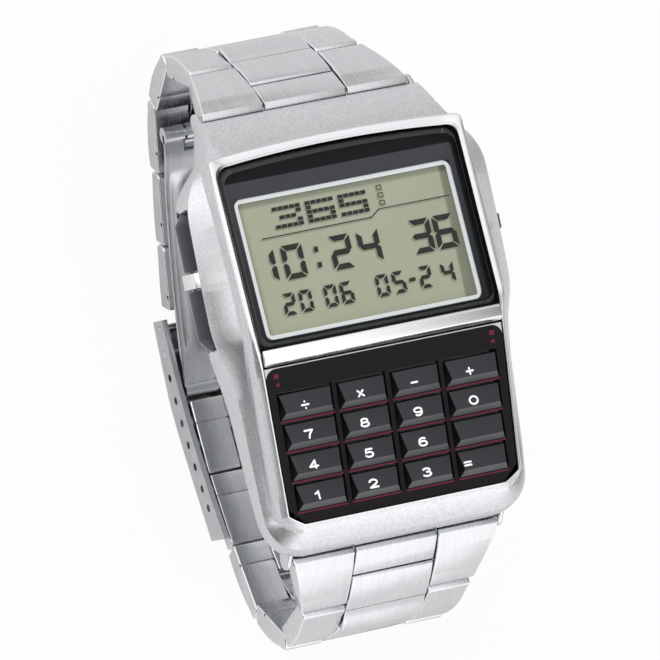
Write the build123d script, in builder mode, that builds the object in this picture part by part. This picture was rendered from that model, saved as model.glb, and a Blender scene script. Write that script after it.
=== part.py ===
from build123d import *
import math
import os

# Calculator watch with a steel link bracelet and a three-leaf folding clasp.
# X to 3 o'clock, Y to 12 o'clock, Z out of the dial. Millimetres.

# case
case_stations = [24.81, 20.81, 17.01, 15.01, 8.01, 0.61, -2.39, -6.39, -13.39, -19.79, -22.29, -23.59]
window_half = 12.33
glass_side_border = 1.87
glass_half = window_half + glass_side_border
low_wall_steps = [-1.3, 0.2, 2.0, 2.5, 2.8, 2.4, 1.4, 0.8, 0.6, 0.2, -0.6, -1.6]
belt_wall_steps = [-1.1, 1.1, 3.6, 4.0, 4.2, 3.9, 2.8, 2.0, 1.7, 1.3, 0.4, -1.3]
top_wall_steps = [-1.2, 0.7, -0.1, -0.3, -0.1, 0.1, 0.2, 0.1, -0.2, -0.5, -1.0, -1.8]
low_widths = [glass_half + step for step in low_wall_steps]
belt_widths = [glass_half + step for step in belt_wall_steps]
top_widths = [glass_half + step for step in top_wall_steps]
belt_swell = 4.2
belt_half = glass_half + belt_swell
case_bottom_z = 33.5
belt_low_z = 35.1
belt_high_z = 38.9
virtual_top_z = 43.9
case_roof = [
    (-23.59, 33.3), (-23.59, 35.7), (-22.69, 38.1), (-20.99, 40.05), (-2.74, 42.98), (-0.94, 43.52),
    (20.86, 40.86), (24.16, 36.8), (24.81, 35.1), (24.81, 33.3),
]
under_case_z = 32.0
seat_ledge = 0.9
cavity_half = glass_half - seat_ledge
cavity_end_y = 19.61
cavity_start_y = -19.59
cavity_ceiling_z = 44.1
lower_ledge = 0.7
lower_cavity_half = cavity_half - lower_ledge

# glass, display and their common sloping plane
glass_anchor_y = 9.94
glass_anchor_z = 42.043
glass_angle = 6.86
glass_foot_y = -10.7
glass_head_y = 10.15
glass_crown = 0.6
glass_thick = 1.0
glass_corner = 0.9
mask_thick = 0.1
glass_fit = 0.06
display_y = -1.92
window_tall = 7.34
window_rim = 0.5
rim_thick = 0.2
display_thick = 1.2
display_margin = 0.55
backlight_thick = 0.5
strip_tall = 1.4
strip_gap = 0.6
board_thick = 0.8
board_room = 0.6
display_board_half = lower_cavity_half
opening_side = 0.72
opening_end = 1.26
window_opening_half = window_half + opening_side
window_opening_tall = window_tall + opening_end

# keypad on its own sloping plane
keypad_anchor_y = -11.39
keypad_anchor_z = 41.32
keypad_angle = -9.09
panel_top_v = 8.6
panel_foot_v = -8.75
panel_inset = 0.1
panel_narrowing = 0.55
panel_half_top = glass_half - panel_inset
panel_half_foot = panel_half_top - panel_narrowing
panel_chamfer = 1.7
panel_thick = 0.7
row_feet = [2.95, -0.42, -3.79, -7.16]
key_long = 2.75
inner_key_start = 0.42
inner_key_end = 5.95
outer_key_start = 6.75
key_margins = [0.6, 0.75, 0.9, 1.05]
outer_key_ends = [panel_half_foot - margin for margin in key_margins]
key_fit = 0.15
key_head_low = 0.08
key_head_high = 0.78
key_bevel_run = 0.5
key_bevel_foot = 0.15
flange_step = 0.16
flange_thick = 0.4
flange_drop = 0.05
key_travel = 0.4
travel_spare = 0.03
membrane_thick = 0.5
membrane_inset = 0.2
membrane_half = cavity_half - membrane_inset
membrane_top_v = 8.3
membrane_foot_v = -8.3
chip_wide = 7.0
chip_thick = 0.7

# bar between display and keypad
bar_half = panel_half_top
bar_profile = [(-2.69, 41.8), (-0.89, 42.0), (-0.87, 43.36), (-1.34, 43.62), (-2.14, 43.55), (-2.69, 42.95)]

# inside the case
housing_fit = 0.3
housing_half = lower_cavity_half - housing_fit
housing_profile = [(-19.29, 34.05), (19.01, 34.05), (19.01, 36.6), (-0.39, 38.9), (-3.59, 39.25), (-19.29, 36.7)]
battery_y = 9.21
battery_radius = 10.0
battery_thick = 2.5
battery_low_z = 34.4
pocket_fit = 0.3
pocket_spare = 0.2
pocket_top_z = battery_low_z + battery_thick + pocket_spare
buzzer_radius = 4.5
buzzer_thick = 0.3
buzzer_y = -10.39
clip_wide = 4.0
clip_thick = 0.2
clip_start_y = -1.79

# case back
back_low_z = 32.8
back_lip_z = 34
back_rim = 1.0
back_half = lower_cavity_half + back_rim
back_head_y = 21.21
back_foot_y = -19.99
back_corner = 2.2
back_fit = 0.05
gasket_wide = 0.7
gasket_thick = 0.5
screw_inset = 1.7
screw_x = back_half - screw_inset
screw_head_y = 19.61
screw_foot_y = -18.39
screw_radius = 0.8
screw_head_radius = 1.25
screw_head_thick = 0.5
screw_long = 2.4
corner_post = 1.7

# side buttons
button_low_z = 35.4
button_high_z = 38.6
upper_button_foot = 9.16
upper_button_head = 15.61
lower_button_foot = 0.26
lower_button_head = 6.96
button_sink = 0.05
button_thick = 1.2
pocket_room = 0.55
button_face_x = belt_half - button_sink
button_back_x = button_face_x - button_thick
pocket_floor_x = button_back_x - pocket_room
button_fit = 0.2
stem_radius = 0.7
stem_fit = 0.06
stem_long = 5.2
stem_end_x = button_back_x - stem_long
stem_rise = 0.85
stem_z = button_low_z + stem_rise
collar_radius = 0.95
collar_thick = 0.4
collar_from_end = 0.6
collar_out_x = stem_end_x + collar_from_end
spacer_foot = 7.16
spacer_head = 8.96
spacer_low_z = 35.2
spacer_high_z = 38.8
spacer_stand = 0.15
spacer_thick = 1.65
spacer_face_x = belt_half + spacer_stand
spacer_back_x = spacer_face_x - spacer_thick

# bracelet
upper_pins = [(24.91, 33.6), (30.39, 26.59), (32.58, 18.27), (28.01, 10.99), (20.24, 7.31),
              (12.18, 4.29), (3.99, 1.69)]
lower_pins = [(-23.69, 33.6), (-30.03, 27.35), (-32.58, 18.82), (-28.5, 10.91), (-20.53, 6.95),
              (-12.05, 4.26), (-3.25, 2.91)]
cover_outer_half = 9.9
cover_sheet = 0.6
cover_inner_half = cover_outer_half - cover_sheet
chain_fit = 0.3
chain_end_half = cover_inner_half - chain_fit
lug_end_half = 12.1
chain_taper = [1.0, 0.5, 0.2]
pin_half_widths = [lug_end_half] + [chain_end_half + step for step in chain_taper] + [chain_end_half] * 3
link_half_thick = 1.15
link_gap = 0.28
centre_half = 4.85
slot_gap = 0.15
tongue_long = 3.1
groove_wide = 0.25
groove_deep = 0.35
pin_radius = 0.55
pin_fit = 0.05
end_link_rise = 1.45
end_link_flat = 1.6
end_link_run = 4.0
last_edge_cut = 0.9
lug_bar_radius = 0.75
lug_bar_tip_radius = 0.4
lug_bar_half = 12.25
lug_bar_tip_half = 12.75
lug_fit = 0.06
horn_inner_half = 12.35
horn_outer_half = 13.1
horn_radius = 1.3
lug_swing_radius = 1.62
lug_cut_in = 1.8
link_room = 0.25

# clasp cover, a channel that the lower chain ends in
cover_floor = [(5.01, 0.0), (-2.99, 0.0), (-5.59, 0.3), (-8.19, 0.9), (-12.49, 2.05),
               (-16.39, 3.2), (-20.39, 4.4)]
cover_rim = [(5.01, 3.0), (0.61, 3.3), (-3.69, 3.8), (-8.19, 4.75), (-12.49, 5.9),
             (-16.39, 7.2), (-20.39, 8.75)]
cover_end_y = 8.0
under_cover_z = -1.0
cover_notch_half = 5.25
cover_notch_y = 2.51
cover_ear_y = 4.01
adjust_holes = [(3.99, 1.69), (1.11, 1.6), (-1.54, 1.75), (-4.19, 2.15), (-6.79, 2.7),
                (-9.34, 3.3), (-11.89, 4.0), (-14.44, 4.8), (-16.69, 5.55)]
adjust_radius = 0.45
bar_radius = 0.5
bar_tip_radius = 0.4
bar_fit = 0.05

# two thin leaves
leaf_thick = 0.7
knuckle_radius = 0.95
cover_pin = (1.11, 1.6)
middle_path = [(1.11, 1.6), (2.61, 3.35), (5.21, 4.0), (12.51, 6.35), (20.61, 9.5), (25.01, 12.8)]
inner_path = [(25.01, 12.8), (23.11, 12.45), (19.81, 10.4), (12.11, 7.35), (4.61, 5.1),
              (-0.39, 3.95), (-3.25, 2.91)]
middle_half = 6.4
inner_half = chain_end_half
inner_fork_half = 6.7
inner_foot_fork_half = 5.1
fork_cut = 1.9
leaf_pin_inset = 0.2
leaf_pin_half = inner_half - leaf_pin_inset

# shares of lengths and plain numbers
mid_share = 0.5
screw_slot_share = 0.5

side_plane = Plane.YZ


def tilted_plane(anchor_y, anchor_z, angle):
    tilt = math.radians(angle)
    return Plane(origin=(0, anchor_y, anchor_z), x_dir=(1, 0, 0), z_dir=(0, math.sin(tilt), math.cos(tilt)))


def link_plane(start, end):
    run, rise = end[0] - start[0], end[1] - start[1]
    reach = math.hypot(run, rise)
    return Plane(origin=(0, start[0], start[1]), x_dir=(0, run / reach, rise / reach), z_dir=(1, 0, 0))


def plan_of(plane):
    """Same origin and x direction, seen along the link's thickness."""
    return Plane(origin=plane.origin, x_dir=plane.x_dir, z_dir=plane.y_dir)


def pin_plane(pin):
    return Plane(origin=(0, pin[0], pin[1]), x_dir=(0, 1, 0), z_dir=(1, 0, 0))


def outline_section(z, widths):
    """Closed case outline at one height: smooth flanks, straight ends."""
    right = [(w, y) for w, y in zip(widths, case_stations)]
    left = [(-w, y) for w, y in zip(widths, case_stations)]
    with BuildSketch(Plane.XY.offset(z), mode=Mode.PRIVATE) as section:
        with BuildLine():
            Line(left[0], right[0])
            Spline(*right)
            Line(right[-1], left[-1])
            Spline(*reversed(left))
        make_face()
    return section.sketch.faces()[0]


def arched_outline(half, foot, head, crown, corner):
    """Rectangle with a slightly arched top, in the sketch plane of the caller."""
    with BuildSketch(Plane.XY, mode=Mode.PRIVATE) as shape:
        with BuildLine():
            Polyline((-half, head - crown), (-half, foot), (half, foot), (half, head - crown))
            ThreePointArc((half, head - crown), (0, head), (-half, head - crown))
        make_face()
        fillet(shape.vertices(), corner)
    return shape.sketch


def panel_outline(grow):
    with BuildSketch(Plane.XY, mode=Mode.PRIVATE) as shape:
        top, foot = panel_top_v + grow, panel_foot_v - grow
        wide, narrow = panel_half_top + grow, panel_half_foot + grow
        with BuildLine():
            Polyline((-wide, top), (-narrow, foot + panel_chamfer), (panel_chamfer - narrow, foot),
                     (narrow - panel_chamfer, foot), (narrow, foot + panel_chamfer), (wide, top), close=True)
        make_face()
    return shape.sketch


glass_plane = tilted_plane(glass_anchor_y, glass_anchor_z, glass_angle)
keypad_plane = tilted_plane(keypad_anchor_y, keypad_anchor_z, keypad_angle)
mask_depth = glass_thick + mask_thick
display_depth = mask_depth + rim_thick
backlight_depth = display_depth + display_thick
board_depth = backlight_depth + backlight_thick + strip_gap * mid_share
flange_top = panel_thick + flange_drop
flange_low = flange_top + flange_thick
membrane_depth = flange_low + key_travel + travel_spare
keyboard_depth = membrane_depth + membrane_thick

key_names = []
key_boxes = []
column_names = ["a", "b", "c", "d"]
for row, foot in enumerate(row_feet):
    spans = [(-outer_key_ends[row], -outer_key_start), (-inner_key_end, -inner_key_start),
             (inner_key_start, inner_key_end), (outer_key_start, outer_key_ends[row])]
    for column, span in zip(column_names, spans):
        key_names.append("key_" + column + str(row + 1))
        key_boxes.append((span[0], span[1], foot, foot + key_long))

button_spans = {"upper": (upper_button_foot, upper_button_head), "lower": (lower_button_foot, lower_button_head)}


def box_between(x0, x1, y0, y1, z0, z1, mode=Mode.ADD):
    with Locations(((x0 + x1) / 2, (y0 + y1) / 2, (z0 + z1) / 2)):
        Box(x1 - x0, y1 - y0, z1 - z0, mode=mode)


# the case: lofted flanks trimmed by the bent roof, then hollowed
with BuildPart() as case:
    with BuildSketch(side_plane):
        with BuildLine():
            Polyline(*case_roof, close=True)
        make_face()
    extrude(amount=belt_widths[4] * 2, both=True)
    with BuildPart(mode=Mode.INTERSECT):
        low = outline_section(case_bottom_z, low_widths)
        belt_low = outline_section(belt_low_z, belt_widths)
        belt_high = outline_section(belt_high_z, belt_widths)
        top = outline_section(virtual_top_z, top_widths)
        loft([low, belt_low], ruled=True)
        loft([belt_low, belt_high], ruled=True)
        loft([belt_high, top], ruled=True)
    # horns that hold the lug bars
    for pins in (upper_pins, lower_pins):
        for side in (1, -1):
            inner, outer = side * horn_inner_half, side * horn_outer_half
            with BuildSketch(Plane(origin=(inner, pins[0][0], pins[0][1]), x_dir=(0, 1, 0), z_dir=(1, 0, 0))):
                Circle(horn_radius)
            extrude(amount=outer - inner)
    # room for the end links to swing
    for pins in (upper_pins, lower_pins):
        way = 1 if pins[0][0] > 0 else -1
        with BuildSketch(pin_plane(pins[0])):
            Circle(lug_swing_radius)
        extrude(amount=horn_inner_half, both=True, mode=Mode.SUBTRACT)
        near, far = pins[0][0] - way * lug_cut_in, pins[0][0] + way * horn_radius * 2
        box_between(-horn_inner_half, horn_inner_half, min(near, far), max(near, far),
                    case_bottom_z - horn_radius * 2, pins[0][1], mode=Mode.SUBTRACT)
        with BuildSketch(pin_plane(pins[0])):
            Circle(lug_bar_tip_radius + lug_fit)
        extrude(amount=lug_bar_tip_half + lug_fit, both=True, mode=Mode.SUBTRACT)
    # glass seat, window and keypad seat
    with BuildSketch(glass_plane.offset(-mask_depth)):
        add(arched_outline(glass_half + glass_fit, glass_foot_y - glass_fit, glass_head_y + glass_fit,
                           glass_crown, glass_corner))
    extrude(amount=mask_depth * 2, mode=Mode.SUBTRACT)
    with BuildSketch(glass_plane.offset(-board_depth - board_thick - board_room)):
        with Locations((0, display_y)):
            Rectangle(window_opening_half * 2, window_opening_tall * 2)
    extrude(amount=board_depth + board_thick + board_room, mode=Mode.SUBTRACT)
    with BuildSketch(keypad_plane.offset(-panel_thick)):
        add(panel_outline(glass_fit))
    extrude(amount=panel_thick * 2, mode=Mode.SUBTRACT)
    with BuildSketch(keypad_plane.offset(-keyboard_depth - board_thick - board_room)):
        with Locations((0, (membrane_top_v + membrane_foot_v) / 2)):
            Rectangle(cavity_half * 2, membrane_top_v - membrane_foot_v + glass_fit * 2)
    extrude(amount=keyboard_depth + board_thick + board_room - panel_thick, mode=Mode.SUBTRACT)
    # groove for the centre bar
    with BuildSketch(side_plane):
        with BuildLine():
            Polyline(*bar_profile, close=True)
        make_face()
    extrude(amount=bar_half + glass_fit, both=True, mode=Mode.SUBTRACT)
    # inner room for the movement, open at the back
    with BuildPart(mode=Mode.SUBTRACT):
        box_between(-lower_cavity_half, lower_cavity_half, cavity_start_y, cavity_end_y,
                    under_case_z, cavity_ceiling_z)
        with BuildSketch(side_plane):
            with BuildLine():
                Polyline((cavity_start_y, under_case_z), (cavity_end_y, under_case_z),
                         (cavity_end_y, housing_profile[2][1] + link_room), housing_profile[3],
                         housing_profile[4], (cavity_start_y, housing_profile[5][1]), close=True)
            make_face()
        extrude(amount=lower_cavity_half, both=True, mode=Mode.INTERSECT)
    # recess for the case back
    with BuildSketch(Plane.XY.offset(under_case_z)):
        with Locations((0, (back_head_y + back_foot_y) / 2)):
            RectangleRounded((back_half + back_fit) * 2, back_head_y - back_foot_y + back_fit * 2, back_corner)
    extrude(amount=back_lip_z - under_case_z, mode=Mode.SUBTRACT)
    # corner posts take the case-back screws
    for sx in (screw_x, -screw_x):
        for sy in (screw_head_y, screw_foot_y):
            box_between(sx - corner_post, sx + corner_post, sy - corner_post, sy + corner_post,
                        back_lip_z, back_lip_z + screw_long)
    for sx in (screw_x, -screw_x):
        for sy in (screw_head_y, screw_foot_y):
            with Locations((sx, sy, back_lip_z + screw_long / 2)):
                Cylinder(screw_radius, screw_long, mode=Mode.SUBTRACT)
    # button pockets and stem bores
    for side in (1, -1):
        for foot, head in button_spans.values():
            floor, mouth = side * pocket_floor_x, side * belt_widths[4] * 2
            box_between(min(floor, mouth), max(floor, mouth), foot - button_fit, head + button_fit,
                        button_low_z - button_fit, button_high_z + button_fit, mode=Mode.SUBTRACT)
            start = Plane(origin=(side * cavity_half * mid_share, (foot + head) / 2, stem_z),
                          x_dir=(0, 1, 0), z_dir=(side, 0, 0))
            with BuildSketch(start):
                Circle(stem_radius + stem_fit)
            extrude(amount=cavity_half, mode=Mode.SUBTRACT)
        floor, mouth = side * spacer_back_x, side * belt_widths[4] * 2
        box_between(min(floor, mouth), max(floor, mouth), spacer_foot, spacer_head,
                    spacer_low_z, spacer_high_z, mode=Mode.SUBTRACT)
case.part.label = "case"

# glass, printed mask, display rim and display
with BuildPart() as crystal:
    with BuildSketch(glass_plane.offset(-glass_thick)):
        add(arched_outline(glass_half, glass_foot_y, glass_head_y, glass_crown, glass_corner))
    extrude(amount=glass_thick)
crystal.part.label = "crystal"

with BuildPart() as glass_mask:
    with BuildSketch(glass_plane.offset(-mask_depth)):
        add(arched_outline(glass_half, glass_foot_y, glass_head_y, glass_crown, glass_corner))
        with Locations((0, display_y)):
            Rectangle((window_half + window_rim) * 2, (window_tall + window_rim) * 2, mode=Mode.SUBTRACT)
    extrude(amount=mask_thick)
glass_mask.part.label = "glass_mask"

with BuildPart() as lcd_frame:
    with BuildSketch(glass_plane.offset(-display_depth)):
        with Locations((0, display_y)):
            Rectangle(window_opening_half * 2 - glass_fit, window_opening_tall * 2 - glass_fit)
            Rectangle(window_half * 2, window_tall * 2, mode=Mode.SUBTRACT)
    extrude(amount=rim_thick)
lcd_frame.part.label = "lcd_frame"

with BuildPart() as lcd_panel:
    with BuildSketch(glass_plane.offset(-backlight_depth)):
        with Locations((0, display_y)):
            Rectangle((window_half + display_margin) * 2, (window_tall + display_margin) * 2)
    extrude(amount=display_thick)
lcd_panel.part.label = "lcd_panel"

with BuildPart() as backlight_panel:
    with BuildSketch(glass_plane.offset(-backlight_depth - backlight_thick)):
        with Locations((0, display_y)):
            Rectangle(window_half * 2, (window_tall + display_margin - strip_tall) * 2)
    extrude(amount=backlight_thick)
backlight_panel.part.label = "backlight_panel"

# two conducting strips join the display to its board
with BuildPart() as lcd_connectors:
    with BuildSketch(glass_plane.offset(-board_depth)):
        reach = window_tall + display_margin - strip_tall * mid_share
        with Locations((0, display_y + reach), (0, display_y - reach)):
            Rectangle(window_half * 2, strip_tall * 0.9)
    extrude(amount=board_depth - backlight_depth)
lcd_connectors.part.label = "lcd_connectors"

with BuildPart() as display_board:
    with BuildSketch(glass_plane.offset(-board_depth - board_thick)):
        with Locations((0, display_y)):
            Rectangle(display_board_half * 2, (window_opening_tall - glass_fit) * 2)
    extrude(amount=board_thick)
display_board.part.label = "display_board"

with BuildPart() as centre_bar:
    with BuildSketch(side_plane):
        with BuildLine():
            Polyline(*bar_profile, close=True)
        make_face()
    extrude(amount=bar_half, both=True)
centre_bar.part.label = "centre_bar"

# keypad panel with a hole for every key
with BuildPart() as keypad_panel:
    with BuildSketch(keypad_plane.offset(-panel_thick)):
        add(panel_outline(0))
        for x0, x1, v0, v1 in key_boxes:
            with Locations(((x0 + x1) / 2, (v0 + v1) / 2)):
                Rectangle(x1 - x0 + key_fit * 2, v1 - v0 + key_fit * 2, mode=Mode.SUBTRACT)
    extrude(amount=panel_thick)
keypad_panel.part.label = "keypad_panel"

with BuildPart() as keypad_membrane:
    with BuildSketch(keypad_plane.offset(-keyboard_depth)):
        with Locations((0, (membrane_top_v + membrane_foot_v) / 2)):
            Rectangle(membrane_half * 2, membrane_top_v - membrane_foot_v)
    extrude(amount=membrane_thick)
keypad_membrane.part.label = "keypad_membrane"

with BuildPart() as keypad_board:
    with BuildSketch(keypad_plane.offset(-keyboard_depth - board_thick)):
        with Locations((0, (membrane_top_v + membrane_foot_v) / 2)):
            Rectangle(membrane_half * 2, membrane_top_v - membrane_foot_v)
    extrude(amount=board_thick)
keypad_board.part.label = "keypad_board"

with BuildPart() as control_chip:
    with BuildSketch(keypad_plane.offset(-keyboard_depth - board_thick - chip_thick)):
        Rectangle(chip_wide, chip_wide)
    extrude(amount=chip_thick)
control_chip.part.label = "control_chip"

# sixteen wedge keys
for name, (x0, x1, v0, v1) in zip(key_names, key_boxes):
    key_plane = Plane(origin=keypad_plane.from_local_coords((x0, 0, 0)), x_dir=keypad_plane.y_dir,
                      z_dir=(1, 0, 0))
    with BuildPart() as key:
        with BuildSketch(key_plane):
            with BuildLine():
                Polyline((v0, -flange_top), (v1, -flange_top), (v1, key_head_low),
                         (v0 + key_bevel_run, key_head_high), (v0, key_bevel_foot), close=True)
            make_face()
        extrude(amount=x1 - x0)
        with BuildSketch(keypad_plane.offset(-flange_low)):
            with Locations(((x0 + x1) / 2, (v0 + v1) / 2)):
                Rectangle(x1 - x0 + flange_step * 2, v1 - v0 + flange_step * 2)
        extrude(amount=flange_thick)
    key.part.label = name
    export_name = name
    os.makedirs("parts", exist_ok=True)
    export_step(key.part, "parts/" + export_name + ".step")

# movement housing with its battery, spring clip and sounder
with BuildPart() as module_housing:
    with BuildSketch(side_plane):
        with BuildLine():
            Polyline(*housing_profile, close=True)
        make_face()
    extrude(amount=housing_half, both=True)
    with Locations((0, battery_y, (battery_low_z + pocket_top_z) / 2)):
        Cylinder(battery_radius + pocket_fit, pocket_top_z - battery_low_z, mode=Mode.SUBTRACT)
    with Locations((0, battery_y, battery_low_z)):
        Cylinder(battery_radius + pocket_fit, (battery_low_z - housing_profile[0][1]) * 2, mode=Mode.SUBTRACT)
    with Locations((0, buzzer_y, housing_profile[0][1])):
        Cylinder(buzzer_radius + pocket_fit, (buzzer_thick + pocket_fit) * 2, mode=Mode.SUBTRACT)
    with BuildSketch(keypad_plane.offset(-keyboard_depth - board_thick - chip_thick - glass_fit)):
        Rectangle(chip_wide + pocket_fit * 2, chip_wide + pocket_fit * 2)
    extrude(amount=chip_thick * 2, mode=Mode.SUBTRACT)
    box_between(-(clip_wide / 2 + pocket_fit), clip_wide / 2 + pocket_fit, clip_start_y - pocket_fit, battery_y,
                housing_profile[0][1] - clip_thick, battery_low_z + clip_thick * 2, mode=Mode.SUBTRACT)
    for sx in (screw_x, -screw_x):
        for sy in (screw_head_y, screw_foot_y):
            room = corner_post + pocket_fit
            box_between(sx - room, sx + room, sy - room, sy + room,
                        housing_profile[0][1], case_roof[5][1], mode=Mode.SUBTRACT)
    for side in (1, -1):
        for foot, head in button_spans.values():
            start = Plane(origin=(side * (stem_end_x - key_travel - stem_radius), (foot + head) / 2, stem_z),
                          x_dir=(0, 1, 0), z_dir=(side, 0, 0))
            with BuildSketch(start):
                Circle(collar_radius + pocket_fit)
            extrude(amount=collar_radius * 2, mode=Mode.SUBTRACT)
module_housing.part.label = "module_housing"

with BuildPart() as battery:
    with Locations((0, battery_y, battery_low_z + battery_thick / 2)):
        Cylinder(battery_radius, battery_thick)
battery.part.label = "battery"

with BuildPart() as battery_clip:
    box_between(-clip_wide / 2, clip_wide / 2, clip_start_y, battery_y, battery_low_z - clip_thick, battery_low_z)
battery_clip.part.label = "battery_clip"

with BuildPart() as buzzer_disc:
    with Locations((0, buzzer_y, housing_profile[0][1] + buzzer_thick / 2)):
        Cylinder(buzzer_radius, buzzer_thick)
buzzer_disc.part.label = "buzzer_disc"

# case back, gasket and four screws
with BuildPart() as case_back:
    with BuildSketch(Plane.XY.offset(back_low_z)):
        with Locations((0, (back_head_y + back_foot_y) / 2)):
            RectangleRounded(back_half * 2, back_head_y - back_foot_y, back_corner)
    extrude(amount=back_lip_z - back_low_z)
    for sx in (screw_x, -screw_x):
        for sy in (screw_head_y, screw_foot_y):
            with Locations((sx, sy, (back_low_z + back_lip_z) / 2)):
                Cylinder(screw_radius, (back_lip_z - back_low_z) * 2, mode=Mode.SUBTRACT)
            with Locations((sx, sy, back_low_z)):
                Cylinder(screw_head_radius + back_fit, screw_head_thick * 2, mode=Mode.SUBTRACT)
    with BuildSketch(Plane.XY.offset(back_lip_z - gasket_thick)):
        with Locations((0, (back_head_y + back_foot_y) / 2)):
            seat_x, seat_y = screw_x - corner_post, (screw_head_y - screw_foot_y) / 2 - corner_post
            RectangleRounded(seat_x * 2, seat_y * 2, back_corner)
            RectangleRounded((seat_x - gasket_wide) * 2, (seat_y - gasket_wide) * 2, back_corner,
                             mode=Mode.SUBTRACT)
    extrude(amount=gasket_thick, mode=Mode.SUBTRACT)
case_back.part.label = "case_back"

with BuildPart() as case_gasket:
    with BuildSketch(Plane.XY.offset(back_lip_z - gasket_thick)):
        with Locations((0, (back_head_y + back_foot_y) / 2)):
            RectangleRounded(seat_x * 2, seat_y * 2, back_corner)
            RectangleRounded((seat_x - gasket_wide) * 2, (seat_y - gasket_wide) * 2, back_corner,
                             mode=Mode.SUBTRACT)
    extrude(amount=gasket_thick)
case_gasket.part.label = "case_gasket"

with BuildPart() as case_back_screws:
    for sx in (screw_x, -screw_x):
        for sy in (screw_head_y, screw_foot_y):
            with BuildSketch(Plane.XY.offset(back_low_z)):
                with Locations((sx, sy)):
                    Circle(screw_head_radius)
            extrude(amount=screw_head_thick)
            with BuildSketch(Plane.XY.offset(back_low_z)):
                with Locations((sx, sy)):
                    Circle(screw_radius)
            extrude(amount=back_lip_z - back_low_z + screw_long * 0.9)
            with BuildSketch(Plane.XY.offset(back_low_z)):
                with Locations((sx, sy)):
                    Rectangle(screw_head_radius * 1.5, screw_radius * 0.4)
            extrude(amount=screw_head_thick * screw_slot_share, mode=Mode.SUBTRACT)
case_back_screws.part.label = "case_back_screws"

# side buttons and the polished spacers between them
button_parts = []
for side, side_name in ((1, "right"), (-1, "left")):
    for level, (foot, head) in button_spans.items():
        with BuildPart() as button:
            face, back = side * button_face_x, side * button_back_x
            box_between(min(face, back), max(face, back), foot, head, button_low_z, button_high_z)
            start = Plane(origin=(back, (foot + head) / 2, stem_z), x_dir=(0, 1, 0), z_dir=(-side, 0, 0))
            with BuildSketch(start):
                Circle(stem_radius)
            extrude(amount=button_back_x - stem_end_x)
            inner = Plane(origin=(side * collar_out_x, (foot + head) / 2, stem_z), x_dir=(0, 1, 0),
                          z_dir=(-side, 0, 0))
            with BuildSketch(inner):
                Circle(collar_radius)
            extrude(amount=collar_thick)
        button.part.label = "button_" + level + "_" + side_name
        export_step(button.part, "parts/button_" + level + "_" + side_name + ".step")

with BuildPart() as button_spacers:
    for side in (1, -1):
        face, back = side * spacer_face_x, side * spacer_back_x
        box_between(min(face, back), max(face, back), spacer_foot, spacer_head, spacer_low_z, spacer_high_z)
button_spacers.part.label = "button_spacers"

with BuildPart() as lug_spring_bars:
    for pins in (upper_pins, lower_pins):
        with BuildSketch(pin_plane(pins[0])):
            Circle(lug_bar_radius)
        extrude(amount=lug_bar_half, both=True)
        with BuildSketch(pin_plane(pins[0])):
            Circle(lug_bar_tip_radius)
        extrude(amount=lug_bar_tip_half, both=True)
lug_spring_bars.part.label = "lug_spring_bars"


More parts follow.
